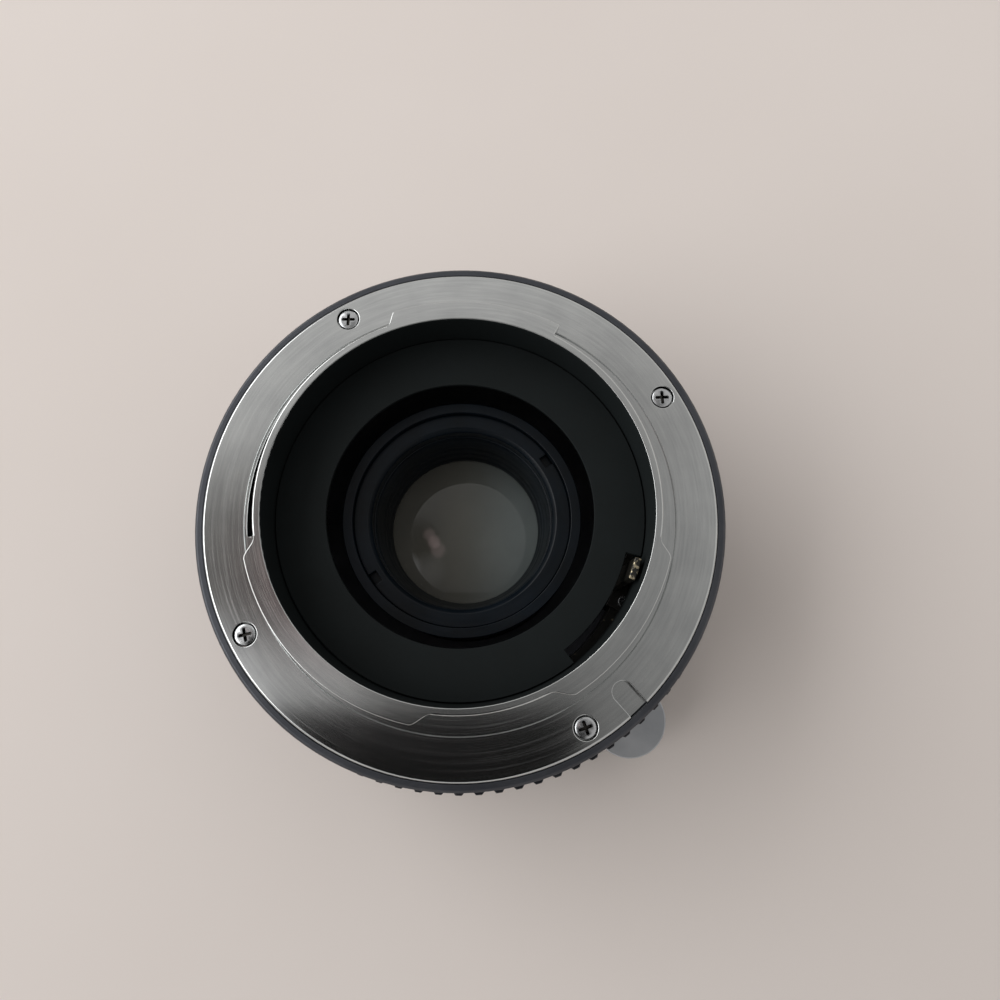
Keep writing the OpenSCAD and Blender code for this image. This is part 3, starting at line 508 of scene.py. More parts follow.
@dataclass(frozen=True)
class CoatedGlass(Finish):
    """Old coated optical glass: a haze of painted light that turns cooler across it, weak reflections and
    some dust.
    """

    # Painted light: the grey stands for the lit table seen through the glass, and the paler, cooler grey for
    # its brighter side.
    through_light: str = "#72716a"
    lit_side: str = "#7f8786"
    lit_side_span: Span = (-2.0, 8.0)
    cloud_per_mm: float = 0.15
    cloud_tone: Span = (0.75, 1.2)
    dust: str = "#c8c8c4"
    grain_gap: float = 2.6
    grain_share: float = 0.02
    roughness: float = 0.03
    ior: float = 1.55
    gloss: float = 0.34
    clear: float = 0.4

    def paint(self, tree: bpy.types.NodeTree, shader: bpy.types.Node) -> None:
        """A haze of painted light with a soft cloud and pale dust, under a polished surface.

        Args:
            tree: The material's nodes.
            shader: The shader that takes the patterns.
        """
        pattern = turned_pattern(tree)
        cloud = add_node(tree, "TexNoise", {"Vector": pattern.place, "Scale": self.cloud_per_mm, "Detail": 3})
        tone = add_node(tree, "MapRange", {"Value": cloud.outputs["Fac"], "To Min": self.cloud_tone[0],
                                           "To Max": self.cloud_tone[1]})
        # Painted light gradient: the grey turns paler and cooler across the glass towards +X.
        share = add_node(tree, "MapRange", {"Value": pattern.across, "From Min": self.lit_side_span[0],
                                            "From Max": self.lit_side_span[1]}, interpolation_type="SMOOTHSTEP")
        tint = add_node(tree, "Mix", {"Factor": share.outputs[0], "A": linear(self.through_light),
                                      "B": linear(self.lit_side)}, data_type="RGBA")
        through_light = add_node(tree, "VectorMath", {0: tint.outputs[2], "Scale": tone.outputs[0]}, operation="SCALE")
        dots = add_node(tree, "TexVoronoi", {"Vector": pattern.place, "Scale": 1 / self.grain_gap})
        speck = add_node(tree, "Math", {0: dots.outputs["Distance"], 1: self.grain_share},
                         operation="LESS_THAN")
        colour = add_node(tree, "Mix", {"Factor": speck.outputs[0], "A": through_light.outputs[0],
                                        "B": linear(self.dust)}, data_type="RGBA")
        plug(tree, shader, {"Base Color": colour.outputs[2], "Roughness": self.roughness, "IOR": self.ior,
                            "Specular IOR Level": self.gloss, "Transmission Weight": self.clear})


@dataclass(frozen=True)
class Enamel(Finish):
    """Baked enamel in a bead: a deep colour under a wet gloss."""

    colour: str = "#a3191e"
    shade: str = "#6d0f13"
    cloud_per_mm: float = 0.8
    roughness: float = 0.22
    coat: float = 0.6

    def paint(self, tree: bpy.types.NodeTree, shader: bpy.types.Node) -> None:
        """A slow change of tone under a clear coat.

        Args:
            tree: The material's nodes.
            shader: The shader that takes the patterns.
        """
        pattern = turned_pattern(tree)
        cloud = add_node(tree, "TexNoise", {"Vector": pattern.place, "Scale": self.cloud_per_mm, "Detail": 2})
        tone = add_node(tree, "Mix", {"Factor": cloud.outputs["Fac"], "A": linear(self.shade),
                                      "B": linear(self.colour)}, data_type="RGBA")
        plug(tree, shader, {"Base Color": tone.outputs[2], "Roughness": self.roughness,
                            "Coat Weight": self.coat})


@dataclass(frozen=True)
class PaintedTable(Finish):
    """A painted table top: a warm off-white with a faint roller mottle."""

    colour: str = "#ded6d1"
    shade: str = "#d7cec8"
    cloud_per_mm: float = 0.014
    roughness: float = 0.85
    gloss: float = 0.15

    def paint(self, tree: bpy.types.NodeTree, shader: bpy.types.Node) -> None:
        """A faint cloud in the paint.

        Args:
            tree: The material's nodes.
            shader: The shader that takes the patterns.
        """
        pattern = turned_pattern(tree)
        cloud = add_node(tree, "TexNoise", {"Vector": pattern.place, "Scale": self.cloud_per_mm, "Detail": 5})
        tone = add_node(tree, "Mix", {"Factor": cloud.outputs["Fac"], "A": linear(self.colour),
                                      "B": linear(self.shade)}, data_type="RGBA")
        plug(tree, shader, {"Base Color": tone.outputs[2], "Roughness": self.roughness,
                            "Specular IOR Level": self.gloss})


@dataclass(frozen=True)
class BlackCard(Finish):
    """Dull black card: one even dark tone without gloss."""

    colour: str = "#0b0c0c"

    def paint(self, tree: bpy.types.NodeTree, shader: bpy.types.Node) -> None:
        """One even dark tone."""
        plug(tree, shader, {"Base Color": linear(self.colour), "Roughness": 1, "Specular IOR Level": 0})


# Bright satin metal whose rings draw every reflection out along them.
CHROME = TurnedChrome("chromed_brass_turned")
# A slate tube with a soft sheen: the dark coat is metallic, so its rim mirrors the pale room.
BARREL_BLACK = BlackAnodised("anodised_aluminium_black", "#46484d", "#54565b", (0.4, 0.5), metallic=0.9)
# The same coat on the ribs, deeper in tone, with broad signs of handling.
GRIP_BLACK = BlackAnodised("anodised_aluminium_grip", "#2c2d31", "#43454a", (0.4, 0.5), metallic=0.9)
# Bluish black rings that swallow stray light and keep a thin glint on their edges.
CELL_BLACK = BlackAnodised("anodised_aluminium_cell", "#05090d", "#0a131b", (0.28, 0.42), turned=True,
                           gloss=0.19)
# A dead black that shows its form by a faint mottle alone.
BAFFLE_PAINT = MattePaint("matte_black_paint")
# Clean, fairly bright heads and pins.
SCREW_STEEL = PlainMetal("nickel_plated_steel", "#b4b6b8", "#8b8e90", (0.22, 0.34))
# Bright heads whose cross recesses and sides below the top are darkened with painted shade.
MOUNT_SCREW_STEEL = PlainMetal("nickel_plated_steel_recess_shaded", "#c6c8c9", "#b0b2b4", (0.2, 0.3), patch=1.2,
                               shade_depths=(16.9, 15.05, 15.3))
# Small dark heads that hardly show on black.
DARK_STEEL = PlainMetal("blackened_steel", "#26272a", "#17181a", (0.35, 0.5))
# Warm grey wire and leaves with small, long glints.
SPRING_STEEL = PlainMetal("spring_steel", "#9b9892", "#6f6b64", (0.22, 0.4))
# An even, pale grey tongue without sharp glints.
TAB_METAL = PlainMetal("satin_aluminium", "#bcbec1", "#a4a7ab", (0.36, 0.5), grain=0.18, patch=6)
# A dark ring with a few brassy grazes.
RING_BLACK = WornLacquer("lacquered_brass", bare_from=0.66)
# A dark lever with brass in its rubbed places.
LEVER_BRASS = WornLacquer("lacquered_brass_worn", bare_from=0.56)
# A dark lever whose tip is rubbed down to pale brass.
LEVER_TIP = WornLacquer("lacquered_brass_bare_tip", patch=0.6, bare_from=0.5, bare_above=34.9)
# A grey, slightly cloudy depth of painted light with weak reflections.
GLASS = CoatedGlass("coated_optical_glass")
# A spot of deep red with a wet highlight.
RED_ENAMEL = Enamel("red_enamel")
# A warm, matt ground that takes soft shadows.
TABLE_PAINT = PaintedTable("painted_table")
# A black that shows only in reflections and as shade.
CARD_BLACK = BlackCard("black_card")


def room(side: bmesh.types.BMLoop, rivals: Iterable[bmesh.types.BMEdge], limit: float) -> float:
    """Measures how far a face runs inward from one of its edges before it meets another sharp edge.

    Args:
        side: The edge as a side of the face.
        rivals: The sharp edges nearby.
        limit: The longest distance that matters.

    Returns:
        The free distance, or the limit.
    """
    first, last = side.vert.co, side.link_loop_next.vert.co
    start = (first + last) / 2
    inward = side.face.normal.cross(last - first).normalized()
    free = limit
    for edge in rivals:
        near, far = (v.co for v in edge.verts)
        if edge is side.edge or (near - start).length > free + (far - near).length:
            continue
        share = intersect_point_line(start, near, far)[1]
        gap = near.lerp(far, min(1, max(0, share))) - start
        if gap.length < free and gap.dot(inward) > INWARD * gap.length:
            free = gap.length
    return free


def cut_rings(bm: bmesh.types.BMesh, cuts: int = 6, first: float = 5, most: int = 40) -> None:
    """Cuts large flat faces into sectors round the optical axis, so that none of them closes on itself.

    Args:
        bm: The shape.
        cuts: How many planes through the axis cut it.
        first: Angle of the first plane in degrees.
        most: Faces with no more corners than this stay whole.
    """
    for k in range(cuts):
        turn = math.radians(first + 180 / cuts * k)
        large = [f for f in bm.faces if len(f.verts) > most]
        near = dict.fromkeys(part for f in large for part in (*f.verts, *f.edges, f))
        bmesh.ops.bisect_plane(bm, geom=list(near), dist=0.01 * MM, plane_co=(0, 0, 0),
                               plane_no=(-math.sin(turn), math.cos(turn), 0))


def spare_nooks(bm: bmesh.types.BMesh, width: float) -> set[bmesh.types.BMVert]:
    """Splits outward edges a little before they end in an inner corner.

    Args:
        bm: The shape.
        width: Width of a broken edge in metres.

    Returns:
        The inner corners, beside which edges can stay sharp.
    """
    hard = [e for e in bm.edges if e.calc_face_angle(0) > HARD_TURN]
    nooks = {v for e in hard if not e.is_convex for v in e.verts}
    for edge in hard:
        for nook in nooks.intersection(edge.verts):
            if edge.is_convex and edge.calc_length() > NOOK_LENGTH * width:
                bmesh.utils.edge_split(edge, nook, NOOK_GAP * width / edge.calc_length())
    return nooks


def break_edges(bm: bmesh.types.BMesh, width: float, sharp_nooks: bool = False) -> bmesh.types.BMesh:
    """Rounds the outward edges of a shape, each as far as its faces leave room.

    Args:
        bm: The shape, which is used up.
        width: Width of a broken edge in metres.
        sharp_nooks: Whether edges stay sharp beside inner corners.

    Returns:
        The shape with rounded edges.
    """
    cut_rings(bm)
    weight = bm.edges.layers.float.new("bevel_weight_edge")
    bm.normal_update()
    nooks = spare_nooks(bm, width) if sharp_nooks else set()
    sharp = {e for e in bm.edges if e.is_convex and e.calc_face_angle(0) > HARD_TURN}
    rivals = {}
    for face in bm.faces:
        patch = [face] + [n for e in face.edges if e not in sharp for n in e.link_faces]
        rivals[face] = {e for n in patch for e in n.edges if e in sharp}
    for edge in sharp:
        spare = min(room(side, rivals[side.face], ROOM_LIMIT * width) for side in edge.link_loops)
        free = spare > LEAST_ROOM * width and nooks.isdisjoint(edge.verts)
        edge[weight] = min(1, ROOM_SHARE * spare / width) if free else 0
    mesh = bpy.data.meshes.new("sharp_piece")
    bm.to_mesh(mesh)
    bm.free()
    holder = bpy.data.objects.new("sharp_piece", mesh)
    bpy.context.scene.collection.objects.link(holder)
    bevel = holder.modifiers.new("broken_edges", "BEVEL")
    bevel.limit_method = "WEIGHT"
    bevel.width = width
    bevel.segments = 3
    bevel.use_clamp_overlap = False
    bevel.face_strength_mode = "FSTR_ALL"
    rounded = bmesh.new()
    rounded.from_object(holder, bpy.context.evaluated_depsgraph_get())
    bpy.data.objects.remove(holder)
    bpy.data.meshes.remove(mesh)
    return rounded


@dataclass(frozen=True)
class Lining:
    """Paint inside a turned piece: its finish, its reach from the axis in millimetres and the faces' lean."""

    finish: Finish
    reach: float
    lean: float = -0.5

    def covers(self, face: bmesh.types.BMFace) -> bool:
        """Tells whether a face looks at the axis from within reach."""
        flat = face.calc_center_median() * Vector((1, 1, 0))
        return flat.length < self.reach * MM and face.normal.dot(flat.normalized()) < self.lean


class Workshop:
    """Keeps the frame and the materials that are already made, and sets finished pieces in place."""

    def __init__(self, frame: dict[str, Any]) -> None:
        """Takes the loaded frame."""
        self.nodes = frame["nodes"]
        self.made: dict[str, bpy.types.Material] = {}

    def material(self, finish: Finish) -> bpy.types.Material:
        """Makes a finish once and gives it again later.

        Args:
            finish: What is wanted.

        Returns:
            Its material.
        """
        if finish.name not in self.made:
            self.made[finish.name] = finish.build()
        return self.made[finish.name]

    def piece(self, name: str, bm: bmesh.types.BMesh, finish: Finish, smooth: float = 35) -> bpy.types.Object:
        """Turns a bmesh into an object at the origin.

        Args:
            name: The piece's name.
            bm: The finished shape, which is used up.
            finish: What it is made of.
            smooth: Edges sharper than this many degrees stay sharp.

        Returns:
            The new object.
        """
        mesh = bpy.data.meshes.new(name)
        bm.to_mesh(mesh)
        bm.free()
        if "custom_normal" in mesh.attributes:
            mesh.attributes.remove(mesh.attributes["custom_normal"])
        mesh.shade_smooth()
        mesh.set_sharp_from_angle(angle=math.radians(smooth))
        mesh.materials.append(self.material(finish))
        obj = bpy.data.objects.new(name, mesh)
        bpy.context.scene.collection.objects.link(obj)
        return obj

    def stand_for(self, obj: bpy.types.Object, body: Body, slot: Slot, *nodes: str) -> bpy.types.Object:
        """Sets a piece on its body in place of its solids.

        Args:
            obj: The piece.
            body: The body that it rides on.
            slot: Not used.
            nodes: The solids that it stands for.

        Returns:
            The piece.
        """
        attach(obj, body.value)
        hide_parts(*nodes)
        LOG.info("%s stands for %s on %s", obj.name, ", ".join(nodes), body.value)
        return obj

    def rounded(self, node: str, finish: Finish, body: Body, slot: Slot, edge: float,
                lining: Lining | None = None, sharp_nooks: bool = False) -> bpy.types.Object:
        """Copies a solid, breaks its sharp edges and sets it in the solid's place.

        Args:
            node: The solid's name.
            finish: What it is made of.
            body: The body that it rides on.
            slot: The record's material slot.
            edge: Width of the broken edges in millimetres.
            lining: Paint on the inside, if it has any.
            sharp_nooks: Whether edges stay sharp beside inner corners.

        Returns:
            The new object.
        """
        bm = bmesh.new()
        bm.from_mesh(self.nodes[node].data)
        bmesh.ops.remove_doubles(bm, verts=bm.verts, dist=JOIN)
        bmesh.ops.dissolve_limit(bm, angle_limit=FLAT_TURN, verts=bm.verts, edges=bm.edges)
        bm = break_edges(bm, edge * MM, sharp_nooks)
        low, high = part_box(node)
        for vert in bm.verts:
            vert.co = [min(most, max(least, c)) for least, c, most in zip(low, vert.co, high)]
        for face in bm.faces:
            face.material_index = int(bool(lining and lining.covers(face)))
        obj = self.piece(f"{node}_piece", bm, finish, smooth=40)
        if lining:
            obj.data.materials.append(self.material(lining.finish))
        normals = obj.modifiers.new("even_faces", "WEIGHTED_NORMAL")
        normals.keep_sharp = True
        normals.use_face_influence = True
        return self.stand_for(obj, body, slot, node)

    def dress(self, node: str, finish: Finish) -> None:
        """Gives a solid that stays in view its finish.

        Args:
            node: The solid's name.
            finish: What it is made of.
        """
        materials = self.nodes[node].data.materials
        materials.clear()
        materials.append(self.material(finish))
        LOG.info("%s is %s", node, finish.name)


def extrude_loop(bm: bmesh.types.BMesh, edges: Sequence[bmesh.types.BMEdge],
                 change: Matrix) -> list[bmesh.types.BMEdge]:
    """Extrudes a loop of edges and moves the new loop.

    Args:
        bm: The shape.
        edges: The loop.
        change: What happens to the new loop.

    Returns:
        The new loop's edges.
    """
    new = bmesh.ops.extrude_edge_only(bm, edges=edges)["geom"]
    verts = [g for g in new if isinstance(g, bmesh.types.BMVert)]
    bmesh.ops.transform(bm, matrix=change, verts=verts)
    moved = set(verts)
    return [g for g in new if isinstance(g, bmesh.types.BMEdge) and all(v in moved for v in g.verts)]


def widen(share: float, z: float = 0) -> Matrix:
    """A change that scales a loop about the axis and moves it along."""
    return Matrix.Translation((0, 0, z)) @ Matrix.Diagonal((share, share, 1, 1))


def spin_profile(bm: bmesh.types.BMesh, profile: Sequence[Span], steps: int) -> None:
    """Spins a closed profile round the optical axis.

    Args:
        bm: The empty shape that takes the turned piece.
        profile: Radius and height of each corner, in millimetres.
        steps: How many steps make a full turn.
    """
    verts = [bm.verts.new((r * MM, 0, z * MM)) for r, z in profile]
    edges = [bm.edges.new(pair) for pair in zip(verts, verts[1:] + verts[:1])]
    bmesh.ops.spin(bm, geom=verts + edges, axis=(0, 0, 1), cent=(0, 0, 0), dvec=(0, 0, 0), angle=math.tau,
                   steps=steps, use_merge=True)
    bmesh.ops.remove_doubles(bm, verts=bm.verts, dist=SEAM)
    bmesh.ops.recalc_face_normals(bm, faces=bm.faces)


@dataclass(frozen=True)
class CrossScrew:
    """A cheese-head screw with a tapered cross recess.

    Sizes are in millimetres. The arms are shares of the head's width, the recess is a share of its
    height, the lip's height is a share of the recess, the soft rim is shares of the broken edge, and the
    lip and the floor are as wide as shares of the loop above them.
    """

    head_d: float
    head_h: float
    shank_d: float
    length: float
    edge: float
    arm_w: float = 0.15
    arm_reach: float = 0.3
    recess_h: float = 0.6
    lip_w: float = 0.94
    lip_h: float = 0.12
    floor_w: float = 0.62
    soft_w: float = 0.3
    soft_h: float = 0.35
    segments: int = 40

    def add(self, bm: bmesh.types.BMesh, place: Matrix) -> None:
        """Adds one screw, its head standing on the plane of the place.

        Args:
            bm: The shape that takes the screw.
            place: Where it goes, in metres.
        """
        screw = bmesh.new()
        top = self.head_d / 2 - self.edge
        rim = bmesh.ops.create_circle(screw, segments=self.segments, radius=top)["verts"]
        bmesh.ops.translate(screw, verts=rim, vec=(0, 0, self.head_h))
        rim_edges = list(screw.edges)
        half, reach = self.arm_w * self.head_d / 2, self.arm_reach * self.head_d
        outline = []
        for k in range(4):
            turn = Matrix.Rotation(math.pi / 2 * k, 4, "Z")
            outline += [turn @ Vector((half, -half, 0)), turn @ Vector((reach, -half, 0)),
                        turn @ Vector((reach + half / 2, 0, 0)), turn @ Vector((reach, half, 0))]
        cross = [screw.verts.new((c.x, c.y, self.head_h)) for c in outline]
        cross_edges = [screw.edges.new((a, b)) for a, b in zip(cross, cross[1:] + cross[:1])]
        bmesh.ops.triangle_fill(screw, use_beauty=True, edges=rim_edges + cross_edges)
        depth = self.recess_h * self.head_h
        lip = extrude_loop(screw, cross_edges, widen(self.lip_w, -self.lip_h * depth))
        floor = extrude_loop(screw, lip, widen(self.floor_w, (self.lip_h - 1) * depth))
        bmesh.ops.triangle_fill(screw, use_beauty=True, edges=floor)
        outer = self.head_d / 2
        shoulder = outer - self.soft_w * self.edge
        soft = extrude_loop(screw, rim_edges, widen(shoulder / top, -self.soft_h * self.edge))
        side = extrude_loop(screw, soft, widen(outer / shoulder, (self.soft_h - 1) * self.edge))
        under = extrude_loop(screw, side, widen(1, self.edge - self.head_h))
        neck = extrude_loop(screw, under, widen(self.shank_d / self.head_d))
        tip = extrude_loop(screw, neck, widen(1, -self.length))
        bmesh.ops.triangle_fill(screw, use_beauty=True, edges=tip)
        bmesh.ops.recalc_face_normals(screw, faces=screw.faces)
        bmesh.ops.transform(screw, matrix=place @ Matrix.Scale(MM, 4), verts=screw.verts)
        part = bpy.data.meshes.new("screw")
        screw.to_mesh(part)
        screw.free()
        bm.from_mesh(part)
        bpy.data.meshes.remove(part)


@dataclass
class Mount:
    """One bayonet mount with its screws. Sizes are in millimetres, angles in degrees."""

    shop: Workshop
    node: str
    screws: str
    face_up: bool
    edge: float = 0.1
    screw_r: float = 27.9
    first_screw: float = 30.2
    turns: tuple[float, ...] = (-28, -31, -16, -10)
    lining: Lining | None = None
    screw: CrossScrew = CrossScrew(2.5, 1, 1.4, 4.5, edge=0.28)

    def build(self) -> None:
        """Makes the flange and sets its screws."""
        self.shop.rounded(self.node, CHROME, Body.HOUSING, Slot.MOUNT, self.edge, lining=self.lining,
                          sharp_nooks=True)
        low, high = (c.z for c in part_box(self.screws))
        bm = bmesh.new()
        for k, turn in enumerate(self.turns):
            angle = math.radians(self.first_screw + 360 / len(self.turns) * k)
            level = high - self.screw.head_h * MM if self.face_up else low + self.screw.head_h * MM
            place = Matrix.Rotation(angle, 4, "Z") @ Matrix.Translation((self.screw_r * MM, 0, level))
            if not self.face_up:
                place @= Matrix.Rotation(math.pi, 4, "X")
            self.screw.add(bm, place @ Matrix.Rotation(math.radians(turn), 4, "Z"))
        obj = self.shop.piece(f"{self.screws}_piece", bm, MOUNT_SCREW_STEEL, smooth=30)
        self.shop.stand_for(obj, Body.HOUSING, Slot.SCREW, self.screws)


@dataclass
class Barrel:
    """The barrel, its grip and its index beads, in millimetres. The flanks are shares of the pitch."""

    shop: Workshop
    tube_edge: float = 0.08
    ribs: int = 85
    rib_h: float = 0.6
    bore_r: float = 31.05
    lip: float = 0.6
    edge: float = 0.12
    steps_per_rib: int = 10
    flank: tuple[float, float, float, float] = (0.3, 0.5, 0.82, 1.0)

    def build(self) -> None:
        """Makes the tube, the ribbed grip and the beads."""
        self.shop.rounded("barrel", BARREL_BLACK, Body.HOUSING, Slot.BARREL, self.tube_edge)
        self.shop.stand_for(self.grip(), Body.HOUSING, Slot.GRIP, "grip_ring")
        self.shop.dress("mount_index_beads", RED_ENAMEL)

    def crest(self, turn: float) -> float:
        """Gives the height of a rib.

        Args:
            turn: The place round the grip, in pitches.

        Returns:
            A share from 0 in the groove to 1 on the crest.
        """
        start, rise, fall, end = self.flank
        share = turn % 1
        if share < start:
            return 0.0
        up = min(1.0, (share - start) / (rise - start))
        down = min(1.0, (end - share) / (end - fall))
        edge = min(up, down)
        return edge * edge * (3 - 2 * edge)

    def grip(self) -> bpy.types.Object:
        """Spins a sleeve and sinks the grooves between its ribs.

        Returns:
            The grip.
        """
        first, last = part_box("grip_ring")
        low, high = first.z / MM, last.z / MM
        crest_r = min(last.x, last.y, -first.x, -first.y) / MM
        root_r = crest_r - self.rib_h
        lip, edge = self.lip, self.edge
        profile = [(self.bore_r, low), (root_r - edge, low), (root_r, low + edge), (root_r, low + lip),
                   (crest_r - edge, low + lip), (crest_r, low + lip + edge),
                   (crest_r, high - lip - edge), (crest_r - edge, high - lip), (root_r, high - lip),
                   (root_r, high - edge), (root_r - edge, high), (self.bore_r, high)]
        bm = bmesh.new()
        spin_profile(bm, profile, self.ribs * self.steps_per_rib)
        for vert in bm.verts:
            flat = Vector((vert.co.x, vert.co.y))
            over = flat.length / MM - root_r
            if over > edge / 4:
                turn = math.atan2(flat.y, flat.x) / math.tau * self.ribs
                radius = root_r + over * self.crest(turn)
                flat *= radius * MM / flat.length
                vert.co.x, vert.co.y = flat
        bmesh.ops.recalc_face_normals(bm, faces=bm.faces)
        return self.shop.piece("grip_ring_piece", bm, GRIP_BLACK, smooth=40)


@dataclass
class Springs:
    """The two wound springs, each one unbroken round wire. Sizes are in millimetres, angles in degrees."""

    shop: Workshop
    wire_d: float = 0.3
    lock_a: float = -48
    lock_r: float = 27.8
    lock_coil_r: float = 1.05
    lock_turns: int = 6
    lock_travel: float = 1.8
    steps: int = 20
    fixed_post: Span = (18.9, 190)
    moving_post: Span = (23.1, 150)
    hook_r: float = 0.95
    hook_lead: float = 0.9
    hook_step: int = 15
    moving_hook: tuple[int, int] = (-60, -300)
    fixed_hook: tuple[int, int] = (120, -120)
    return_coil_r: float = 1.1
    return_turns: int = 13
    swell_turns: float = 0.75

    def wire(self, name: str, points: Iterable[Vector]) -> bpy.types.Object:
        """Runs a round wire along points and makes it a mesh.

        Args:
            name: The piece's name.
            points: The middle of the wire, in millimetres.

        Returns:
            The wire at the origin.
        """
        route = list(points)
        curve = bpy.data.curves.new(name, "CURVE")
        curve.dimensions = "3D"
        curve.bevel_depth = self.wire_d / 2 * MM
        curve.bevel_resolution = 3
        curve.use_fill_caps = True
        spline = curve.splines.new("POLY")
        spline.points.add(len(route) - 1)
        for point, place in zip(spline.points, route):
            point.co = (*(place * MM), 1)
        holder = bpy.data.objects.new(name, curve)
        mesh = bpy.data.meshes.new_from_object(holder)
        bpy.data.objects.remove(holder)
        bm = bmesh.new()
        bm.from_mesh(mesh)
        bpy.data.meshes.remove(mesh)
        bmesh.ops.remove_doubles(bm, verts=bm.verts, dist=SEAM)
        bmesh.ops.recalc_face_normals(bm, faces=bm.faces)
        return self.shop.piece(name, bm, SPRING_STEEL, smooth=60)

    def build(self) -> None:
        """Winds both springs."""
        self.lock_spring()
        self.return_spring()

    def lock_spring(self) -> None:
        """Winds the coil over the lock pin, which the sliding tab presses."""
        low, high = (c.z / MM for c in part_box("lock_spring"))
        start, rise = low + self.wire_d / 2, high - low - self.wire_d
        steps = self.steps * self.lock_turns
        axis = Vector((self.lock_r, 0, 0))
        axis.rotate(Matrix.Rotation(math.radians(self.lock_a), 3, "Z"))
        points = []
        for i in range(steps + 1):
            angle = math.tau * i / self.steps + math.radians(self.lock_a)
            x, y = self.lock_coil_r * math.cos(angle), self.lock_coil_r * math.sin(angle)
            points.append(axis + Vector((x, y, start + rise * i / steps)))
        obj = self.wire("lock_spring_piece", points)
        self.shop.stand_for(obj, Body.HOUSING, Slot.SPRING, "lock_spring")
        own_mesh(obj)

    def hook(self, post: Vector, along: Vector, across: Vector, sweep: tuple[int, int]) -> list[Vector]:
        """Bends the wire round a post.

        Args:
            post: The middle of the post.
            along: Direction from the moving post to the fixed one.
            across: Direction square to it.
            sweep: First and last angle, counted down.

        Returns:
            Points along the hook.
        """
        first, last = sweep
        turns = [math.radians(a) for a in range(first, last - 1, -self.hook_step)]
        return [post + self.hook_r * (along * math.cos(t) + across * math.sin(t)) for t in turns]

    def return_spring(self) -> None:
        """Winds the coil between the fixed and the moving post, with a hook round each."""
        low, high = (c.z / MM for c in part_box("aperture_return_spring"))
        middle = (low + high) / 2
        ends = []
        for radius, angle in (self.moving_post, self.fixed_post):
            turn = math.radians(angle)
            ends.append(Vector((radius * math.cos(turn), radius * math.sin(turn), middle)))
        first, last = ends
        along = (last - first).normalized()
        across, up = Vector((-along.y, along.x, 0)), Vector((0, 0, 1))
        lead = self.hook_r + self.hook_lead
        coil = (last - first).length - 2 * lead
        steps = self.steps * self.return_turns
        swell_steps = self.swell_turns * self.steps
        points = self.hook(first, along, across, self.moving_hook)
        for i in range(steps + 1):
            share = min(1, i / swell_steps, (steps - i) / swell_steps)
            swell = self.return_coil_r * share * share * (3 - 2 * share)
            angle = math.tau * i / self.steps
            points.append(first + along * (lead + coil * i / steps)
                          + swell * (across * math.cos(angle) + up * math.sin(angle)))
        points += self.hook(last, along, across, self.fixed_hook)
        obj = self.wire("aperture_return_spring_piece", points)
        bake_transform(obj)
        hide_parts("aperture_return_spring")
        LOG.info("%s bends between the posts", obj.name)


@dataclass
class LensLock:
    """The release tab and the lock pin, with their broken edges in millimetres."""

    shop: Workshop
    tab_edge: float = 0.22
    pin_edge: float = 0.08

    def build(self) -> None:
        """Makes the tab with a softened outline and the pin."""
        self.shop.rounded("release_tab", TAB_METAL, Body.RELEASE, Slot.TAB, self.tab_edge)
        self.shop.rounded("lock_pin", SCREW_STEEL, Body.RELEASE, Slot.SCREW, self.pin_edge)


@dataclass
class FrontSocket:
    """What stands in the lens socket, with its broken edges in millimetres."""

    shop: Workshop
    leaf_edge: float = 0.05
    screw_edge: float = 0.04
    baffle_edge: float = 0.06

    def build(self) -> None:
        """Makes the leaf springs, the baffle and their screws."""
        shop, body = self.shop, Body.HOUSING
        shop.rounded("lens_leaf_springs", SPRING_STEEL, body, Slot.SPRING, self.leaf_edge)
        shop.rounded("leaf_spring_screws", SCREW_STEEL, body, Slot.SCREW, self.screw_edge)
        shop.rounded("front_baffle", BAFFLE_PAINT, body, Slot.BAFFLE, self.baffle_edge)
        shop.rounded("front_baffle_screws", DARK_STEEL, body, Slot.DARK_SCREW, self.screw_edge)


@dataclass
class ApertureCoupling:
    """The ring in the barrel, its levers and what holds them, with their broken edges in millimetres."""

    shop: Workshop
    ring_edge: float = 0.06
    tip_edge: float = 0.15
    fork_edge: float = 0.08
    screw_edge: float = 0.03
    post_edge: float = 0.05

    def build(self) -> None:
        """Makes the moving ring with its levers, and the fixed retainer and post."""
        shop, moving, fixed = self.shop, Body.COUPLING, Body.HOUSING
        shop.rounded("aperture_ring", RING_BLACK, moving, Slot.LEVER, self.ring_edge)
        shop.rounded("rear_aperture_lever", LEVER_TIP, moving, Slot.LEVER, self.tip_edge)
        shop.rounded("front_aperture_lever", LEVER_BRASS, moving, Slot.LEVER, self.fork_edge)
        shop.rounded("lever_screws", SCREW_STEEL, moving, Slot.SCREW, self.screw_edge)
        shop.rounded("moving_spring_post", SCREW_STEEL, moving, Slot.SCREW, self.post_edge)
        shop.rounded("fixed_spring_post", SCREW_STEEL, fixed, Slot.SCREW, self.post_edge)
        shop.rounded("aperture_ring_retainer", SPRING_STEEL, fixed, Slot.SPRING, self.post_edge)


@dataclass
class LensCell:
    """The lens cell with its rings and glass, and the baffle round it. Broken edges are in millimetres."""

    shop: Workshop
    baffle_edge: float = 0.08
    cell_edge: float = 0.1
    screw_edge: float = 0.04
    black: tuple[str, ...] = ("lens_cell", "rear_retaining_ring", "rear_spacer", "middle_spacer",
                              "front_retaining_ring")
    glass: tuple[str, ...] = ("rear_crown_element", "rear_flint_element", "middle_element", "front_element")

    def build(self) -> None:
        """Makes the metal pieces and dresses the glass."""
        self.shop.rounded("rear_baffle", BAFFLE_PAINT, Body.HOUSING, Slot.BAFFLE, self.baffle_edge)
        for node in self.black:
            self.shop.rounded(node, CELL_BLACK, Body.HOUSING, Slot.CELL, self.cell_edge)
        self.shop.rounded("cell_screws", DARK_STEEL, Body.HOUSING, Slot.DARK_SCREW, self.screw_edge)
        for node in self.glass:
            self.shop.dress(node, GLASS)


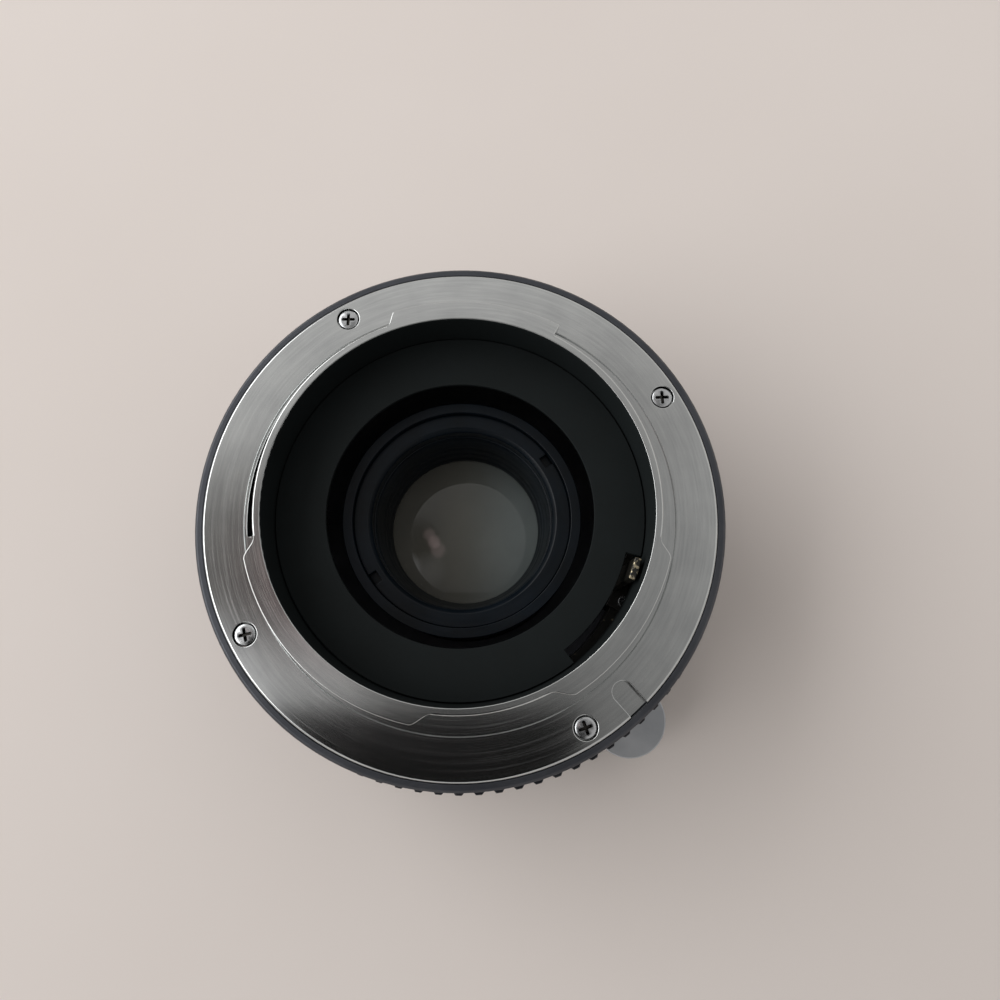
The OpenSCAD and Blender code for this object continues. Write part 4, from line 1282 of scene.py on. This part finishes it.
@dataclass(frozen=True)
class Glow:
    """A soft patch of light or shade on the ceiling: its colour, direction, edge in degrees and strength."""

    colour: str
    towards: Place
    spread: Span
    strength: float


@dataclass(frozen=True)
class Panel:
    """A level sheet: its middle and size in millimetres, its finish, and which rays alone see it, if any."""

    name: str
    middle: Place
    size: Span
    finish: Finish
    seen_by: Sight | None = None


@dataclass(frozen=True)
class Lamp:
    """A soft rectangular light: its place and size in millimetres and its power in watts."""

    name: str
    place: Place
    size: Span
    power: float


@dataclass
class Studio:
    """The table, the window's light, the dark cards and the camera."""

    shop: Workshop
    camera_at: Place = (4.62, -16.13, 117.0)
    camera_tilt: float = 11.71
    lens: float = 26.68
    clip_start: float = 5
    table: float = 640
    table_gap: float = 0.02
    card: Panel = Panel("black_card", (-12, -99, 119), (72, 142), CARD_BLACK, Sight.GLOSSY)
    shade: Panel = Panel("photographer_shade", (60, -190, 150), (320, 200), CARD_BLACK, Sight.DIFFUSE)
    window: Lamp = Lamp("window", (-1350, 230, 820), (2600, 1500), 31.5)
    room_tint: str = "#fbf9f7"
    wall_light: float = 0.68
    ceiling_light: float = 0.2
    ceiling_from: Span = (0.84, 1.0)
    glows: tuple[Glow, ...] = (
        # A small bright patch.
        Glow("#fdfdff", (-0.382, -0.042, 0.923), (1.5, 6), 0.9),
        # Three rosy patches in a row that run into one.
        Glow("#ffdede", (-0.226, 0.098, 0.969), (0.8, 2.9), 1.5),
        Glow("#ffdede", (-0.252, 0.142, 0.957), (0.8, 2.9), 0.9),
        Glow("#ffdede", (-0.203, 0.05, 0.978), (0.8, 2.9), 0.8),
        # Broad, weak changes of light and shade.
        Glow("#ffffff", (-0.262, -0.06, 0.963), (2, 7), 0.24),
        Glow("#ffffff", (0.23, 0.1, 0.968), (4, 13), 0.1),
        Glow("#ffffff", (-0.335, 0.1, 0.937), (3, 10), -0.32),
        Glow("#ffffff", (0.5, -0.85, 0.15), (20, 80), -0.1),
        Glow("#ffffff", (-0.24, 0.37, 0.897), (5, 22), 0.07),
    )

    def build(self) -> None:
        """Lays the table and the dark panels, hangs the lamp, and sets up the room's light and the camera."""
        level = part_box("front_bayonet_mount")[0].z / MM - self.table_gap
        floor = self.lay(Panel("table_top", (0, 0, level), (self.table, self.table), TABLE_PAINT))
        card = self.lay(self.card)
        shade = self.lay(self.shade)
        self.hang(self.window)
        self.world()
        self.camera()

    def lay(self, panel: Panel) -> bpy.types.Object:
        """Lays a panel and hides it from the rays that it isn't for.

        Args:
            panel: What to lay.

        Returns:
            The panel.
        """
        bm = bmesh.new()
        bmesh.ops.create_grid(bm, x_segments=1, y_segments=1, size=0.5 * MM)
        bmesh.ops.scale(bm, vec=(*panel.size, 1), verts=bm.verts)
        bmesh.ops.translate(bm, vec=Vector(panel.middle) * MM, verts=bm.verts)
        obj = self.shop.piece(panel.name, bm, panel.finish)
        for sight in Sight:
            if panel.seen_by not in (None, sight):
                setattr(obj, f"visible_{sight.value}", False)
        return obj

    def hang(self, lamp: Lamp) -> None:
        """Hangs a light so that it faces the object.

        Args:
            lamp: What to hang.
        """
        data = bpy.data.lights.new(lamp.name, "AREA")
        data.shape = "RECTANGLE"
        data.size, data.size_y = (side * MM for side in lamp.size)
        data.energy = lamp.power
        obj = bpy.data.objects.new(lamp.name, data)
        obj.location = Vector(lamp.place) * MM
        obj.rotation_euler = (-Vector(lamp.place)).to_track_quat("-Z", "Y").to_euler()
        bpy.context.scene.collection.objects.link(obj)

    def world(self) -> None:
        """Fills the room with pale light: brighter walls, a darker ceiling and soft glows on it."""
        scene = bpy.context.scene
        scene.world = bpy.data.worlds.new("room")
        scene.world.use_nodes = True
        tree = scene.world.node_tree
        tree.nodes.clear()
        coords = add_node(tree, "TexCoord")
        split = add_node(tree, "SeparateXYZ", {0: coords.outputs["Generated"]})
        low, high = self.ceiling_from
        level = add_node(tree, "MapRange", {"Value": split.outputs["Z"], "From Min": low, "From Max": high,
                                            "To Min": self.wall_light, "To Max": self.ceiling_light},
                         interpolation_type="SMOOTHSTEP")
        light = add_node(tree, "VectorMath", {0: linear(self.room_tint)[:3], "Scale": level.outputs[0]},
                         operation="SCALE")
        for glow in self.glows:
            inner, outer = (math.cos(math.radians(a)) for a in glow.spread)
            near = add_node(tree, "VectorMath", {0: coords.outputs["Generated"], 1: glow.towards},
                            operation="DOT_PRODUCT")
            share = add_node(tree, "MapRange", {"Value": near.outputs["Value"], "From Min": outer,
                                                "From Max": inner, "To Min": 0.0, "To Max": glow.strength},
                             interpolation_type="SMOOTHSTEP")
            tint = add_node(tree, "VectorMath", {0: linear(glow.colour)[:3], "Scale": share.outputs[0]},
                            operation="SCALE")
            light = add_node(tree, "VectorMath", {0: light.outputs[0], 1: tint.outputs[0]}, operation="ADD")
        sky = add_node(tree, "Background", {"Color": light.outputs[0], "Strength": 1})
        add_node(tree, "OutputWorld", {"Surface": sky.outputs[0]})
        scene.view_settings.view_transform = "Standard"

    def camera(self) -> None:
        """Puts the camera where the photograph was taken from."""
        data = bpy.data.cameras.new("camera")
        data.lens = self.lens
        data.clip_start = self.clip_start * MM
        obj = bpy.data.objects.new("camera", data)
        obj.location = Vector(self.camera_at) * MM
        obj.rotation_euler = (math.radians(self.camera_tilt), 0, 0)
        bpy.context.scene.collection.objects.link(obj)
        bpy.context.scene.camera = obj


def main() -> None:
    """Builds the sub-assemblies in order."""
    logging.basicConfig(level=logging.INFO, format="%(message)s")
    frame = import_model()
    shop = Workshop(frame)
    collar_paint = Lining(BAFFLE_PAINT, reach=21.85)
    Studio(shop).build()
    Barrel(shop).build()
    Mount(shop, "rear_bayonet_mount", "rear_mount_screws", face_up=True, lining=collar_paint).build()
    Mount(shop, "front_bayonet_mount", "front_mount_screws", face_up=False, first_screw=75.2).build()
    FrontSocket(shop).build()
    LensLock(shop).build()
    ApertureCoupling(shop).build()
    LensCell(shop).build()
    Springs(shop).build()


if __name__ == "__main__":
    main()
